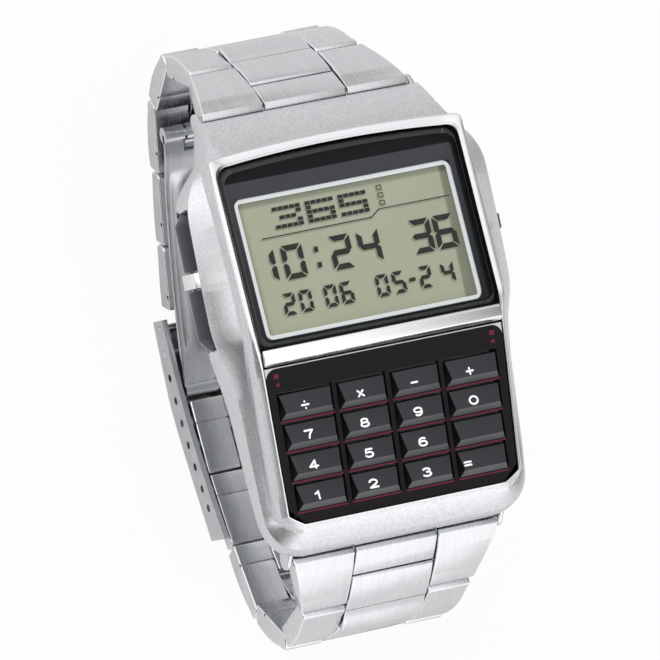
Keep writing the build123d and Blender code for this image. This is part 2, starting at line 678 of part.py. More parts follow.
def build_link(name, pins, index, out):
    """One bracelet link: two edge pieces, a centre piece and a tongue for the next link."""
    start, end = pins[index], pins[index + 1]
    plane = link_plane(start, end)
    length = math.hypot(end[0] - start[0], end[1] - start[1])
    here = math.atan2(end[1] - start[1], end[0] - start[0])
    first, last = index == 0, index == len(pins) - 2
    wide, narrow = pin_half_widths[index], pin_half_widths[index + 1]
    h = link_half_thick
    stop = length - h - link_gap - (last_edge_cut if last and out > 0 else 0)
    open_x = tongue_long + link_gap
    with BuildPart() as link:
        with BuildSketch(plane):
            Circle(h)
            with Locations((stop / 2, 0)):
                Rectangle(stop, h * 2)
            if first:
                with BuildLine():
                    Polyline((0, 0), (0, out * end_link_rise), (end_link_flat, out * end_link_rise),
                             (end_link_flat + end_link_run, out * h), (end_link_flat + end_link_run, 0),
                             close=True)
                make_face()
        extrude(amount=wide, both=True)
        with BuildSketch(plan_of(plane)):
            with BuildLine():
                Polyline((-h * 2, -wide), (0, -wide), (length, -narrow), (length, narrow), (0, wide),
                         (-h * 2, wide), close=True)
            make_face()
        extrude(amount=h * 3, both=True, mode=Mode.INTERSECT)
        if not first:
            with BuildSketch(plane):
                with Locations(((open_x - h * 2) / 2, 0)):
                    Rectangle(open_x + h * 2, h * 4)
            extrude(amount=centre_half + slot_gap, both=True, mode=Mode.SUBTRACT)
            with BuildSketch(plane):
                Circle(pin_radius)
            extrude(amount=wide - slot_gap, both=True)
        # lines that part the edge pieces from the centre piece
        for side in (1, -1):
            for face in (1, -1):
                level = end_link_rise if first and face == out else h
                with BuildSketch(plane.offset(side * (centre_half + slot_gap / 2) - groove_wide / 2)):
                    with Locations(((stop - h * 2) / 2, face * level)):
                        Rectangle(stop + h * 4, groove_deep * 2)
                extrude(amount=groove_wide, mode=Mode.SUBTRACT)
        if first:
            with BuildSketch(plane):
                with Locations((open_x, out * end_link_rise)):
                    Rectangle(link_gap, groove_deep * 2 + end_link_rise - h)
            extrude(amount=centre_half + slot_gap, both=True, mode=Mode.SUBTRACT)
            with BuildSketch(plane):
                Circle(lug_bar_radius + lug_fit)
            extrude(amount=wide * 2, both=True, mode=Mode.SUBTRACT)
        # tongue
        with BuildSketch(plane):
            with Locations(((stop - h + length) / 2, 0)):
                Rectangle(length - stop + h, h * 2)
            with Locations((length, 0)):
                Circle(h)
        extrude(amount=centre_half, both=True)
        if not last:
            beyond = pins[index + 2]
            there = math.atan2(beyond[1] - end[1], beyond[0] - end[0])
            turn = (there - here + math.pi) % (2 * math.pi) - math.pi
            aim = here + turn / 2
            tip = (end[0] + math.cos(aim) * (tongue_long - h), end[1] + math.sin(aim) * (tongue_long - h))
            tongue_plane = link_plane(end, tip)
            with BuildSketch(tongue_plane):
                with Locations(((tongue_long - h) / 2, 0)):
                    Rectangle(tongue_long - h, h * 2)
                with Locations((tongue_long - h, 0)):
                    Circle(h)
            extrude(amount=centre_half, both=True)
        bore = (bar_radius if last and out > 0 else pin_radius) + pin_fit
        with BuildSketch(pin_plane(end)):
            Circle(bore)
        extrude(amount=centre_half * 2, both=True, mode=Mode.SUBTRACT)
    link.part.label = name
    export_step(link.part, "parts/" + name + ".step")


for i in range(len(upper_pins) - 1):
    build_link("upper_link_" + str(i + 1), upper_pins, i, 1)
    build_link("lower_link_" + str(i + 1), lower_pins, i, -1)

# clasp cover: outer sheet with two side walls and a row of adjusting holes
with BuildPart() as clasp_cover:
    with BuildSketch(side_plane):
        with BuildLine():
            Line(cover_floor[0], cover_floor[1])
            Spline(*cover_floor[1:])
            Line(cover_floor[-1], cover_rim[-1])
            Spline(*reversed(cover_rim))
            Line(cover_rim[0], cover_floor[0])
        make_face()
    extrude(amount=cover_outer_half, both=True)
    with BuildSketch(side_plane):
        lifted = [(y, z + cover_sheet) for y, z in cover_floor]
        raised = [(y, z + cover_sheet * 4) for y, z in cover_rim]
        first_y, last_y = cover_sheet * 2, -cover_sheet * 2
        with BuildLine():
            Polyline((lifted[0][0] + first_y, lifted[0][1]), *lifted, (lifted[-1][0] + last_y, lifted[-1][1]),
                     (raised[-1][0] + last_y, raised[-1][1]), *reversed(raised),
                     (raised[0][0] + first_y, raised[0][1]), close=True)
        make_face()
    extrude(amount=cover_inner_half, both=True, mode=Mode.SUBTRACT)
    box_between(-cover_notch_half, cover_notch_half, cover_notch_y, cover_end_y,
                under_cover_z, cover_rim[-1][1], mode=Mode.SUBTRACT)
    box_between(-cover_inner_half, cover_inner_half, cover_ear_y, cover_end_y,
                under_cover_z, cover_rim[-1][1], mode=Mode.SUBTRACT)
    for index, hole in enumerate(adjust_holes):
        with BuildSketch(pin_plane(hole)):
            Circle(adjust_radius)
        extrude(amount=cover_outer_half * 2, both=True, mode=Mode.SUBTRACT)
clasp_cover.part.label = "clasp_cover"

with BuildPart() as clasp_bars:
    for pin in (upper_pins[-1], cover_pin):
        with BuildSketch(pin_plane(pin)):
            Circle(bar_radius)
        extrude(amount=cover_inner_half - slot_gap, both=True)
        with BuildSketch(pin_plane(pin)):
            Circle(bar_tip_radius)
        extrude(amount=cover_outer_half, both=True)
clasp_bars.part.label = "clasp_bars"


def leaf_profile(path):
    """Bent sheet along a path with a knuckle at each end, as one side-view face."""
    with BuildSketch(side_plane, mode=Mode.PRIVATE) as face:
        for a, b in zip(path, path[1:]):
            plane = link_plane(a, b)
            run = math.hypot(b[0] - a[0], b[1] - a[1])
            angle = math.degrees(math.atan2(b[1] - a[1], b[0] - a[0]))
            with Locations(Location(((a[0] + b[0]) / 2, (a[1] + b[1]) / 2, 0), angle)):
                Rectangle(run, leaf_thick)
        with Locations(*path[1:-1]):
            Circle(leaf_thick / 2)
        with Locations(path[0], path[-1]):
            Circle(knuckle_radius)
    return face.sketch


with BuildPart() as leaf_middle:
    extrude(leaf_profile(middle_path), amount=middle_half, both=True)
    for pin in (middle_path[0], middle_path[-1]):
        with BuildSketch(pin_plane(pin)):
            Circle(bar_radius + bar_fit)
        extrude(amount=middle_half * 2, both=True, mode=Mode.SUBTRACT)
leaf_middle.part.label = "leaf_middle"

with BuildPart() as leaf_inner:
    extrude(leaf_profile(inner_path), amount=inner_half, both=True)
    # fork at the fold and at the last link
    for pin, half in ((inner_path[0], inner_fork_half), (inner_path[-1], inner_foot_fork_half)):
        with BuildSketch(pin_plane(pin)):
            Circle(fork_cut)
        extrude(amount=half, both=True, mode=Mode.SUBTRACT)
        with BuildSketch(pin_plane(pin)):
            Circle(bar_radius)
        extrude(amount=inner_half * 2, both=True, mode=Mode.SUBTRACT)
leaf_inner.part.label = "leaf_inner"

with BuildPart() as leaf_pins:
    for pin in (inner_path[0], inner_path[-1]):
        with BuildSketch(pin_plane(pin)):
            Circle(bar_radius)
        extrude(amount=leaf_pin_half, both=True)
leaf_pins.part.label = "leaf_pins"

os.makedirs("parts", exist_ok=True)
export_step(case.part, "parts/case.step")
export_step(crystal.part, "parts/crystal.step")
export_step(glass_mask.part, "parts/glass_mask.step")
export_step(lcd_frame.part, "parts/lcd_frame.step")
export_step(lcd_panel.part, "parts/lcd_panel.step")
export_step(backlight_panel.part, "parts/backlight_panel.step")
export_step(lcd_connectors.part, "parts/lcd_connectors.step")
export_step(display_board.part, "parts/display_board.step")
export_step(centre_bar.part, "parts/centre_bar.step")
export_step(keypad_panel.part, "parts/keypad_panel.step")
export_step(keypad_membrane.part, "parts/keypad_membrane.step")
export_step(keypad_board.part, "parts/keypad_board.step")
export_step(control_chip.part, "parts/control_chip.step")
export_step(module_housing.part, "parts/module_housing.step")
export_step(battery.part, "parts/battery.step")
export_step(battery_clip.part, "parts/battery_clip.step")
export_step(buzzer_disc.part, "parts/buzzer_disc.step")
export_step(case_back.part, "parts/case_back.step")
export_step(case_gasket.part, "parts/case_gasket.step")
export_step(case_back_screws.part, "parts/case_back_screws.step")
export_step(button_spacers.part, "parts/button_spacers.step")
export_step(lug_spring_bars.part, "parts/lug_spring_bars.step")
export_step(clasp_cover.part, "parts/clasp_cover.step")
export_step(clasp_bars.part, "parts/clasp_bars.step")
export_step(leaf_middle.part, "parts/leaf_middle.step")
export_step(leaf_inner.part, "parts/leaf_inner.step")
export_step(leaf_pins.part, "parts/leaf_pins.step")
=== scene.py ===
import math

import bpy
import numpy as np
from mathutils import Matrix, Vector


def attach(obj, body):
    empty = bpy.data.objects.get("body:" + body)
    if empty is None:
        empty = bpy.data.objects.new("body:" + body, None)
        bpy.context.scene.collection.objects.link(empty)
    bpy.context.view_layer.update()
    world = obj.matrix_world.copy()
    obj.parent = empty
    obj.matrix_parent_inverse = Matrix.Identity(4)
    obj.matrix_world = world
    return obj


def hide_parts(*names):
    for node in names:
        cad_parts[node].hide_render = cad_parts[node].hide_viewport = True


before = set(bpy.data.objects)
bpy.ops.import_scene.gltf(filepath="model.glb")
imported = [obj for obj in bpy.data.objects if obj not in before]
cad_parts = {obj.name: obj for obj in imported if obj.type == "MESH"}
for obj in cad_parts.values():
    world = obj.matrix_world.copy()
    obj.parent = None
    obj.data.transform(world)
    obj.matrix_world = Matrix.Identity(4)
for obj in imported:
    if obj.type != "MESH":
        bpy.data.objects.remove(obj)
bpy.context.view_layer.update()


# The case: one die-cast, silver-sprayed block, bent along the crest between display and keypad. A raised
# bezel runs round glass and keypad, the flanks fall to a belt that holds the side buttons, and the
# 12 o'clock end slopes to the lugs. Sizes here are in millimetres.
class Value:
    """A socket in a finish. Arithmetic on it adds Math nodes."""

    def __init__(self, finish, socket):
        self.finish, self.socket = finish, socket

    def adds(operation, turned=False):
        """A method that adds one Math node, with its terms turned round for a reflected operator."""
        def method(self, *others):
            terms = (*others, self) if turned else (self, *others)
            return self.finish.node("ShaderNodeMath", {"operation": operation}, dict(enumerate(terms)))
        return method

    __add__ = __radd__ = adds("ADD")
    __sub__, __rsub__ = adds("SUBTRACT"), adds("SUBTRACT", turned=True)
    __mul__ = __rmul__ = adds("MULTIPLY")
    __truediv__, __abs__, root = adds("DIVIDE"), adds("ABSOLUTE"), adds("SQRT")
    up_to, at_least = adds("MINIMUM"), adds("MAXIMUM")

    def held(self):
        """Kept between 0 and 1."""
        return self.at_least(0.0).up_to(1.0)


class Finish:
    """One material, or the world. node() adds any node: its kind, the settings made first, then its
    sockets' values or links."""

    def __init__(self, name, kind="materials"):
        self.made = getattr(bpy.data, kind).new(name)
        self.made.use_nodes = True
        self.tree = self.made.node_tree
        self.tree.nodes.clear()

    def node(self, kind, settings=None, sockets=None, out=0):
        made = self.tree.nodes.new(kind)
        for key, setting in (settings or {}).items():
            setattr(made, key, setting)
        for key, given in (sockets or {}).items():
            if isinstance(given, Value):
                self.tree.links.new(given.socket, made.inputs[key])
            elif made.inputs[key].type == "RGBA":
                made.inputs[key].default_value = (*given, 1.0)
            else:
                made.inputs[key].default_value = given
        return Value(self, made.outputs[out])

    def parts(self, vector):
        split = self.node("ShaderNodeSeparateXYZ", sockets={0: vector}).socket.node
        return [Value(self, out) for out in split.outputs]

    def place(self):
        """x, y and z on the object, in millimetres."""
        return [part * 1000.0 for part in self.parts(self.node("ShaderNodeTexCoord", out="Object"))]

    def point(self, x, y, z):
        return self.node("ShaderNodeCombineXYZ", sockets={0: x, 1: y, 2: z})

    def noise(self, spot, scale, detail=2.0):
        return self.node("ShaderNodeTexNoise",
                         sockets={"Vector": self.point(*spot), "Scale": scale, "Detail": detail})

    def mix(self, share, first, second):
        return self.node("ShaderNodeMix", {"data_type": "RGBA"}, {0: share, 6: first, 7: second}, out=2)

    def bump(self, height, depth, strength):
        sockets = {"Height": height, "Distance": depth, "Strength": strength}
        return self.node("ShaderNodeBump", sockets=sockets)

    def surface(self, **sockets):
        names = {key.replace("_", " "): given for key, given in sockets.items()}
        return self.done(self.node("ShaderNodeBsdfPrincipled", sockets=names))

    def done(self, shader, kind="ShaderNodeOutputMaterial"):
        output = self.tree.nodes.new(kind)
        self.tree.links.new(shader.socket, output.inputs["Surface"])
        return self.made


def toned(colour, share):
    """The colour made darker or lighter."""
    return tuple(min(1.0, c * share) for c in colour)


def sprayed_silver(name, colour, gloss, grain):
    """Metallic paint: fine grain in height, and flakes that are each a little lighter or darker."""
    f = Finish(name)
    spot = f.place()
    flakes = f.node("ShaderNodeTexVoronoi", sockets={"Vector": f.point(*spot), "Scale": 6.5}, out="Color")
    flake = f.node("ShaderNodeSeparateColor", sockets={0: flakes})
    cloud = f.noise(spot, 0.35)
    shade = (flake - 0.5) * 0.55 * grain + (cloud - 0.5) * 0.05 + 0.5
    return f.surface(Base_Color=f.mix(shade.held(), toned(colour, 0.8), toned(colour, 1.2)), Metallic=1.0,
                     Roughness=(gloss + (flake - 0.5) * 0.08).held(),
                     Normal=f.bump(f.noise(spot, 16.0, 1.0), 0.00001 * grain, 0.5))


def polished(name, colour, gloss):
    """Buffed steel: almost clear, with the faint waves and hairlines of a polishing wheel."""
    f = Finish(name)
    x, y, z = f.place()
    wave = f.noise((x, y, z), 0.4)
    hair = f.noise((x * 0.15, y * 6.0, z * 6.0), 2.0, 1.0)
    return f.surface(Base_Color=f.mix(wave, toned(colour, 0.96), colour), Metallic=1.0,
                     Roughness=(gloss + (hair - 0.5) * 0.05).held(), Normal=f.bump(wave, 0.00002, 0.15))


def plain(name, colour, gloss, metal=0.0, mottle=0.06, scale=2.0, dent=0.000004, shine=0.5):
    """A moulded or stamped part: one colour with slight mottling and a fine uneven skin."""
    f = Finish(name)
    spot = f.place()
    patch = f.noise(spot, scale)
    tone = f.mix(patch, toned(colour, 1.0 - mottle), toned(colour, 1.0 + mottle))
    return f.surface(Base_Color=tone, Metallic=metal, Roughness=(gloss + (patch - 0.5) * 0.1).held(),
                     Normal=f.bump(f.noise(spot, scale * 8.0, 1.0), dent, 0.4), Specular_IOR_Level=shine)


def unit(v):
    return v / np.maximum(np.linalg.norm(v, axis=-1, keepdims=True), 1e-9)


def rounded(corners, radius, steps=5):
    """Polygon with each corner turned into an arc: tangent points lie radius/tan(half angle) from the
    corner, and the arc runs round the centre on the corner's bisector."""
    p = np.array(corners, float)
    r = np.broadcast_to(np.array(radius, float), len(p))
    before, after = unit(np.roll(p, 1, 0) - p), unit(np.roll(p, -1, 0) - p)
    half = np.arccos(np.clip((before * after).sum(1), -1, 1)) / 2
    centre = p + unit(before + after) * (r / np.sin(half))[:, None]
    reach = (r / np.tan(half))[:, None]
    first, last = p + before * reach, p + after * reach
    start = np.arctan2(*(first - centre).T[::-1])
    turn = np.arctan2(*(last - centre).T[::-1]) - start
    turn = (turn + np.pi) % (2 * np.pi) - np.pi
    a = start[:, None] + turn[:, None] * np.linspace(0, 1, steps)
    return (centre[:, None] + r[:, None, None] * np.stack([np.cos(a), np.sin(a)], -1)).reshape(-1, 2)


def inset(outline, depth):
    """Closed outline moved inwards by depth, along the mean of its edges' normals."""
    p = np.array(outline, float)
    edge = unit(np.roll(p, -1, 0) - p)
    edge = np.where(np.abs(edge).sum(1, keepdims=True) < 0.5, np.roll(edge, 1, 0), edge)
    normal = np.stack([-edge[:, 1], edge[:, 0]], -1)
    way = np.sign((p[:, 0] * np.roll(p[:, 1], -1) - np.roll(p[:, 0], -1) * p[:, 1]).sum())
    mean = unit(normal + np.roll(normal, 1, 0)) * way
    lean = np.clip((mean * normal * way).sum(1, keepdims=True), 0.35, 1)
    return p + mean * depth / lean


def stacked(rings, picks=0, closed=False, end_picks=None):
    """Skin over a stack of equal rings: quads between neighbours, and one face on each end or, when closed,
    quads from the last ring to the first. picks chooses the finish of each band, end_picks of the ends."""
    rings = np.array(rings, float)
    count, around = rings.shape[:2]
    i = np.arange(count * around).reshape(count, around)
    if closed:
        i = np.concatenate([i, i[:1]])
    j = np.roll(i, -1, 1)
    quads = np.stack([i[:-1], j[:-1], j[1:], i[1:]], -1).reshape(-1, 4)
    shades = np.repeat(np.broadcast_to(picks, len(i) - 1), around).tolist()
    p = rings.reshape(-1, 3)
    faces = quads.tolist()
    a, b, c, d = p[quads.T]
    volume = np.einsum("ij,ij->i", (a + b + c + d) / 4 - p.mean(0), np.cross(c - a, d - b)).sum()
    if not closed:
        faces += [i[0][::-1].tolist(), i[-1].tolist()]
        shades += end_picks or (shades[0], shades[-1])
        for ring, way in ((rings[0], -1), (rings[-1], 1)):
            v = ring - ring.mean(0)
            volume += (ring.mean(0) - p.mean(0)) @ np.cross(v, np.roll(v, -1, 0)).sum(0) * way
    if volume < 0:
        faces = [face[::-1] for face in faces]
    return p, faces, shades


def placed(name, mesh):
    """An object for a mesh that is already in its place."""
    made = bpy.data.objects.new(name, mesh)
    bpy.context.scene.collection.objects.link(made)
    return made


def creased(made, angle):
    """Smooth faces, with an edge kept sharp where they turn by more than the angle in degrees."""
    made.data.shade_smooth()
    made.data.set_sharp_from_angle(angle=math.radians(angle))


def piece(name, body, skins, finishes, stands_for=(), angle=32.0):
    """One object from several skins, given in millimetres; it rides on its body and hides the nodes that it
    replaces."""
    points, faces, shades, start = [], [], [], 0
    for p, f, s in skins:
        points.append(p)
        faces += [[k + start for k in face] for face in f]
        shades += s
        start += len(p)
    mesh = bpy.data.meshes.new(name)
    mesh.from_pydata((np.concatenate(points) / 1000.0).tolist(), [], faces)
    for finish in finishes:
        mesh.materials.append(finish)
    mesh.polygons.foreach_set("material_index", shades)
    made = placed(name, mesh)
    creased(made, angle)
    if body:
        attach(made, body)
    if stands_for:
        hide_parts(*stands_for)
    return made


def settled(made, angle):
    """Works the object's modifiers into its mesh."""
    bpy.context.view_layer.update()
    mesh = bpy.data.meshes.new_from_object(made.evaluated_get(bpy.context.evaluated_depsgraph_get()))
    made.modifiers.clear()
    made.data = mesh
    creased(made, angle)


def eased(made, width, steps=2, angle=20.0):
    """Rounds the sharp edges of a piece."""
    soft = made.modifiers.new("eased edges", "BEVEL")
    soft.width, soft.segments, soft.limit_method = width / 1000.0, steps, "ANGLE"
    soft.angle_limit = math.radians(angle)
    soft.use_clamp_overlap = True
    settled(made, 50.0)


def cut_out(made, skins):
    """Takes closed skins out of a piece."""
    tool = piece("cutter", None, skins, list(made.data.materials))
    cut = made.modifiers.new("cut", "BOOLEAN")
    cut.operation, cut.solver, cut.object = "DIFFERENCE", "EXACT", tool
    settled(made, 35.0)
    bpy.data.objects.remove(tool)


def bent_roof(y):
    """Height of the crest: it falls to 12 o'clock over the display and to 6 o'clock over the keypad."""
    return np.minimum(43.54 - 0.1203 * (y + 1.0), 43.17 + 0.16 * (y + 1.0))


silver_spray = sprayed_silver("silver_spray", (0.70, 0.71, 0.72), 0.36, 1.0)
silver_smooth = sprayed_silver("silver_smooth", (0.66, 0.67, 0.68), 0.26, 0.5)
bright_edge = polished("bright_edge", (0.86, 0.87, 0.88), 0.10)
# Painted shade: near black where the silver case lies in shade, on the bezel's inner wall round glass and
# keypad, in the stem bores and on the case's inner wall.
seat_painted_shade = plain("seat_painted_shade", (0.006, 0.006, 0.0065), 0.45, shine=0.15)
SPRAY, SMOOTH, BRIGHT, PAINTED_SHADE = range(4)

# each ring runs round the whole case. Per ring: the y at which its flank starts, corner and middle of its
# 12 o'clock end, corner of its 6 o'clock end, then half widths and drops below the crest (or one height) at
# these stations
stations = [20.4, 19.4, 18.0, 16.5, 15.2, 8.0, 2.0, 0.4, -2.4, -4.4, -6.9, -10.0, -13.4, -16.8, -19.0]
seat_half = [14.28] * 8 + [14.2, 14.15, 14.08, 13.97, 13.86, 13.74, 13.68]
ring_rows = [
    # seat: foot and edge
    (17.9, (12.75, 19.5, 39.6), (20.1, 39.5), (11.95, -20.09, 38.7),
     seat_half, [1.3] * 15),
    (17.9, (12.75, 19.5, 40.9), (20.1, 40.84), (11.95, -20.09, 40.05),
     seat_half, [0.06] * 15),
    # crest, inner and outer line
    (18.0, (13.0, 19.78, 41.02), (20.38, 40.95), (11.98, -20.16, 40.12),
     [14.62] * 8 + [14.28, 14.22, 14.15, 14.04, 13.93, 13.81, 13.75], [-0.14] * 8 + [0.0] * 7),
    (19.65, (14.3, 20.42, 40.92), (21.0, 40.84), (12.0, -20.26, 40.08),
     [14.95] * 8 + [14.45, 14.36, 14.28, 14.16, 14.05, 13.93, 13.87], [-0.1] * 8 + [0.02] * 7),
    # shoulder and foot of the bezel's outer slope
    (19.75, (14.35, 20.5, 40.78), (21.1, 40.7), (12.15, -20.75, 39.85),
     [15.08, 15.1, 15.12, 15.14, 15.15, 15.15, 15.12, 15.1, 14.9, 14.8, 14.72, 14.62, 14.52, 14.42, 14.36],
     [0.08] * 7 + [0.15, 0.6, 0.75] + [0.8] * 4 + [0.75]),
    (20.4, (13.75, 20.62, 40.5), (21.15, 40.5), (12.3, -21.0, 39.6),
     [14.2, 15.3, 15.5, 15.55, 15.56, 15.56, 15.5, 15.42, 15.2, 15.1, 15.02, 14.95, 14.85, 14.72, 14.6],
     [2.4, 2.3, 1.75, 1.4, 1.2, 1.1, 1.25, 1.4, 1.9, 2.05, 2.1, 2.1, 2.1, 2.05, 2.0]),
    # groove that starts below the display and runs down beside the keypad: bottom and outer lip
    (20.4, (13.76, 20.64, 40.48), (21.17, 40.48), (12.32, -21.03, 39.57),
     [14.2, 15.31, 15.51, 15.56, 15.57, 15.57, 15.53, 15.47, 15.29, 15.2, 15.12, 15.05, 14.95, 14.82, 14.7],
     [2.42, 2.32, 1.77, 1.42, 1.22, 1.12, 1.35, 1.6, 2.4, 2.65, 2.75, 2.75, 2.7, 2.6, 2.3]),
    (20.4, (13.77, 20.66, 40.46), (21.19, 40.46), (12.34, -21.06, 39.54),
     [14.2, 15.32, 15.52, 15.57, 15.58, 15.59, 15.6, 15.6, 15.48, 15.38, 15.3, 15.22, 15.12, 14.98, 14.84],
     [2.44, 2.34, 1.79, 1.44, 1.24, 1.14, 1.3, 1.5, 2.1, 2.3, 2.4, 2.4, 2.4, 2.35, 2.25]),
    # outer line of the flank, chamfer under it, belt
    (20.4, (12.97, 24.15, 36.8), (24.2, 36.8), (11.6, -22.9, 37.7),
     [14.25, 15.6, 16.7, 17.4, 17.7, 17.8, 17.78, 17.5, 16.65, 16.4, 16.15, 16.03, 15.88, 15.72, 15.56],
     [2.6, 2.5, 2.6, 2.65, 2.8, 3.62, 4.36, 4.5, 4.2, 3.95, 3.75, 3.5, 3.25, 3.0, 2.9]),
    (20.4, (13.0, 24.5, 36.1), (24.55, 36.1), (11.5, -23.25, 37.0),
     [14.25, 15.62, 16.8, 17.52, 17.78, 17.86, 17.84, 17.6, 16.75, 16.48, 16.22, 16.1, 15.95, 15.8, 15.63],
     [2.8, 2.75, 2.85, 2.9, 3.0, 3.78, 4.52, 4.7, 4.5, 4.3, 4.1, 3.85, 3.6, 3.35, 3.2]),
    (20.4, (13.05, 24.75, 35.6), (24.81, 35.6), (11.35, -23.5, 36.2),
     [14.25, 15.4, 16.75, 17.75, 18.1, 18.3, 18.2, 18.0, 17.0, 16.62, 16.3, 16.17, 16.03, 15.88, 15.7],
     [4.0, 4.2, 4.2, 4.2, 4.3, 5.0, 5.6, 5.7, 5.4, 5.2, 5.0, 4.8, 4.6, 4.3, 4.1]),
    (20.4, (13.08, 24.78, 35.1), (24.81, 35.1), (11.25, -23.59, 35.1),
     [14.2, 15.3, 16.6, 17.6, 17.6, 17.4, 17.3, 17.3, 16.9, 16.55, 16.25, 16.12, 15.98, 15.8, 15.6],
     35.15),
    (20.4, (12.9, 24.78, 33.5), (24.81, 33.5), (11.0, -23.55, 33.5),
     [13.9, 14.7, 15.7, 16.3, 16.6, 16.9, 16.6, 16.5, 15.6, 15.2, 15.0, 14.9, 14.8, 14.6, 14.4], 33.5),
    # recess for the case back, then the inner wall
    (19.06, (12.0, 21.26, 33.5), (21.26, 33.5), (12.0, -20.04, 33.5),
     [13.65] * 15, 33.5),
    (19.06, (12.0, 21.26, 34.02), (21.26, 34.02), (12.0, -20.04, 34.02),
     [13.65] * 15, 34.02),
    (17.5, (12.0, 19.7, 34.02), (19.7, 34.02), (12.0, -19.5, 34.02),
     [12.7] * 15, 34.02),
]
crest_rows, arched_rows, slope_rows, outside_rows = 4, 5, 8, 13
# The seat's wall and the case's inner wall take the painted shade.
ring_finish = [PAINTED_SHADE, SMOOTH, BRIGHT] + [SPRAY] * 5 + [SMOOTH] * 7 + [PAINTED_SHADE] * 2


def bowed(first, bend, last, t):
    """Curve from first to last, drawn towards bend: (1 - t)^2 first + 2t(1 - t) bend + t^2 last."""
    return (1 - t) ** 2 * first + 2 * t * (1 - t) * bend + t ** 2 * last


def case_ring(index, row):
    """Half a ring: the 12 o'clock end from its middle to its corner, the flank through the stations with
    its corners softened, the 6 o'clock corner and end; then the mirror of it."""
    start, head, head_middle, foot, widths, drops = row
    ys = np.linspace(start, foot[1] + 2.2 if index >= outside_rows else stations[-1], 64)

    def line(values):
        v = np.interp(ys, stations[::-1], values[::-1])
        for _ in range(2):
            v[1:-1] = (v[:-2] + 2 * v[1:-1] + v[2:]) / 4
        return v

    high = bent_roof(ys) - line(drops) if isinstance(drops, list) else np.full(len(ys), drops)
    flank = np.stack([line(widths), ys, high], -1)
    t = np.linspace(0, 1, 12)[:, None]
    middle, corner = np.array([0.0, *head_middle]), np.array(head)
    top = middle + (corner - middle) * t
    top[:, 1] = head_middle[0] + (head[1] - head_middle[0]) * t[:, 0] ** 2
    s = np.linspace(0, 1, 9)[1:-1, None]
    bend = np.array([flank[0, 0], head[1], (head[2] + flank[0, 2]) / 2])
    arched = index < arched_rows
    bridge = bowed(corner, bend, flank[0], s) if arched else corner + (flank[0] - corner) * s
    foot_corner, foot_middle = np.array(foot), np.array([0.0, *foot[1:]])
    straight = (flank[-1] + foot_corner) / 2
    bend = np.array([flank[-1, 0] - 0.1, foot[1] + 0.1, foot[2] + 0.2 * (flank[-1, 2] - foot[2])])
    softness = 0.1 if index < crest_rows else 0.35 if index < slope_rows else 0.85
    bend = straight + (bend - straight) * softness
    turn = bowed(flank[-1], bend, foot_corner, np.linspace(0, 1, 11)[1:-1, None])
    low = foot_corner + (foot_middle - foot_corner) * t
    half = np.concatenate([top, bridge, flank, turn, low])
    return np.concatenate([half, (half * [-1, 1, 1])[-2:0:-1]])


def prism(outline, low, high, ease, steps=3, picks=0, end_picks=None):
    """A side view in (y, z) carried across x from low to high, its ends rounded over by quarter circles of
    radius ease. low and high may differ from point to point."""
    outline = np.array(outline, float)
    low, high = np.broadcast_to(low, len(outline)), np.broadcast_to(high, len(outline))
    t = np.linspace(0, np.pi / 2, steps)
    layers = [(ease * (1 - np.sin(a)), low + ease * (1 - np.cos(a))) for a in t]
    layers += [(ease * (1 - np.sin(a)), high - ease * (1 - np.cos(a))) for a in t[::-1]]
    stack = [np.column_stack([x, inset(outline, depth)]) for depth, x in layers]
    return stacked(stack, picks, end_picks=end_picks)


def rod(start_x, end_x, centre, radius, finish=0):
    """Round bar along x, its centre given in (y, z)."""
    a = np.linspace(0, 2 * np.pi, 32, endpoint=False)
    ring = np.stack([0 * a, centre[0] + radius * np.cos(a), centre[1] + radius * np.sin(a)], -1)
    return stacked([ring + [x, 0, 0] for x in (start_x, end_x)], finish)


def arc(cx, cy, rx, ry, start, end, count=14):
    a = np.radians(np.linspace(start, end, count))
    return [(cx + rx * math.cos(v), cy + ry * math.sin(v)) for v in a]


rings = [case_ring(k, row) for k, row in enumerate(ring_rows)]
wall_short, edge_round = 0.4, 0.07
rings.append(rings[-1] * [1, 1, 0] + [0, 0, 1] * (rings[0] - wall_short))
case_shell = piece("case_shell", "watch_case", [stacked(rings, ring_finish, closed=True)],
                   [silver_spray, silver_smooth, bright_edge, seat_painted_shade], ["case"])
eased(case_shell, edge_round)
pocket = np.array([(16.7, 0.06), (17.7, 0.08), (18.6, 1.0), (20.0, 2.4), (20.0, 13.4), (18.6, 14.85),
                   (17.7, 15.78), (16.7, 15.8)])
pocket_heights = (35.2, 38.76)
stem_places, stem_height, bore_ends, bore_radius = (12.385, 3.61), 36.25, (11.0, 17.0), 0.78
lug_pins = ((24.91, 33.6), (-23.69, 33.6))
swing, cheek, room_low, horn_radius, horn_sides = 1.62, 12.35, 2.2, 1.05, (12.37, 12.95)
pockets, bores, horns = [], [], []
for side in (1, -1):
    pockets.append(stacked([np.insert(pocket * [side, 1], 2, z, axis=1) for z in pocket_heights], SMOOTH))
    inner, outer = side * np.array(bore_ends)
    # The stem bores are painted near black as shade.
    bores += [rod(inner, outer, (y, stem_height), bore_radius, PAINTED_SHADE) for y in stem_places]
for y, z in lug_pins:
    out = 1 if y > 0 else -1
    room = [(y + out * 3, z - room_low), (y + out * 3, z + swing),
            *arc(y, z, out * swing, swing, 90, 180, 8), (y - out * swing, z - room_low)]
    pockets.append(prism(room, -cheek, cheek, 0.0, 2, SMOOTH))
    horn = [(y - out * 3.2, 33.6), (y - out * 3.2, 36.0), (y - out * 0.5, 35.7),
            *arc(y, z, out * horn_radius, horn_radius, 62, -92)]
    horns += [prism(horn, *sorted(side * x for x in horn_sides), 0.16, 4) for side in (1, -1)]
cut_out(case_shell, pockets)
cut_out(case_shell, bores)
piece("lug_horns", "watch_case", horns, [silver_smooth])
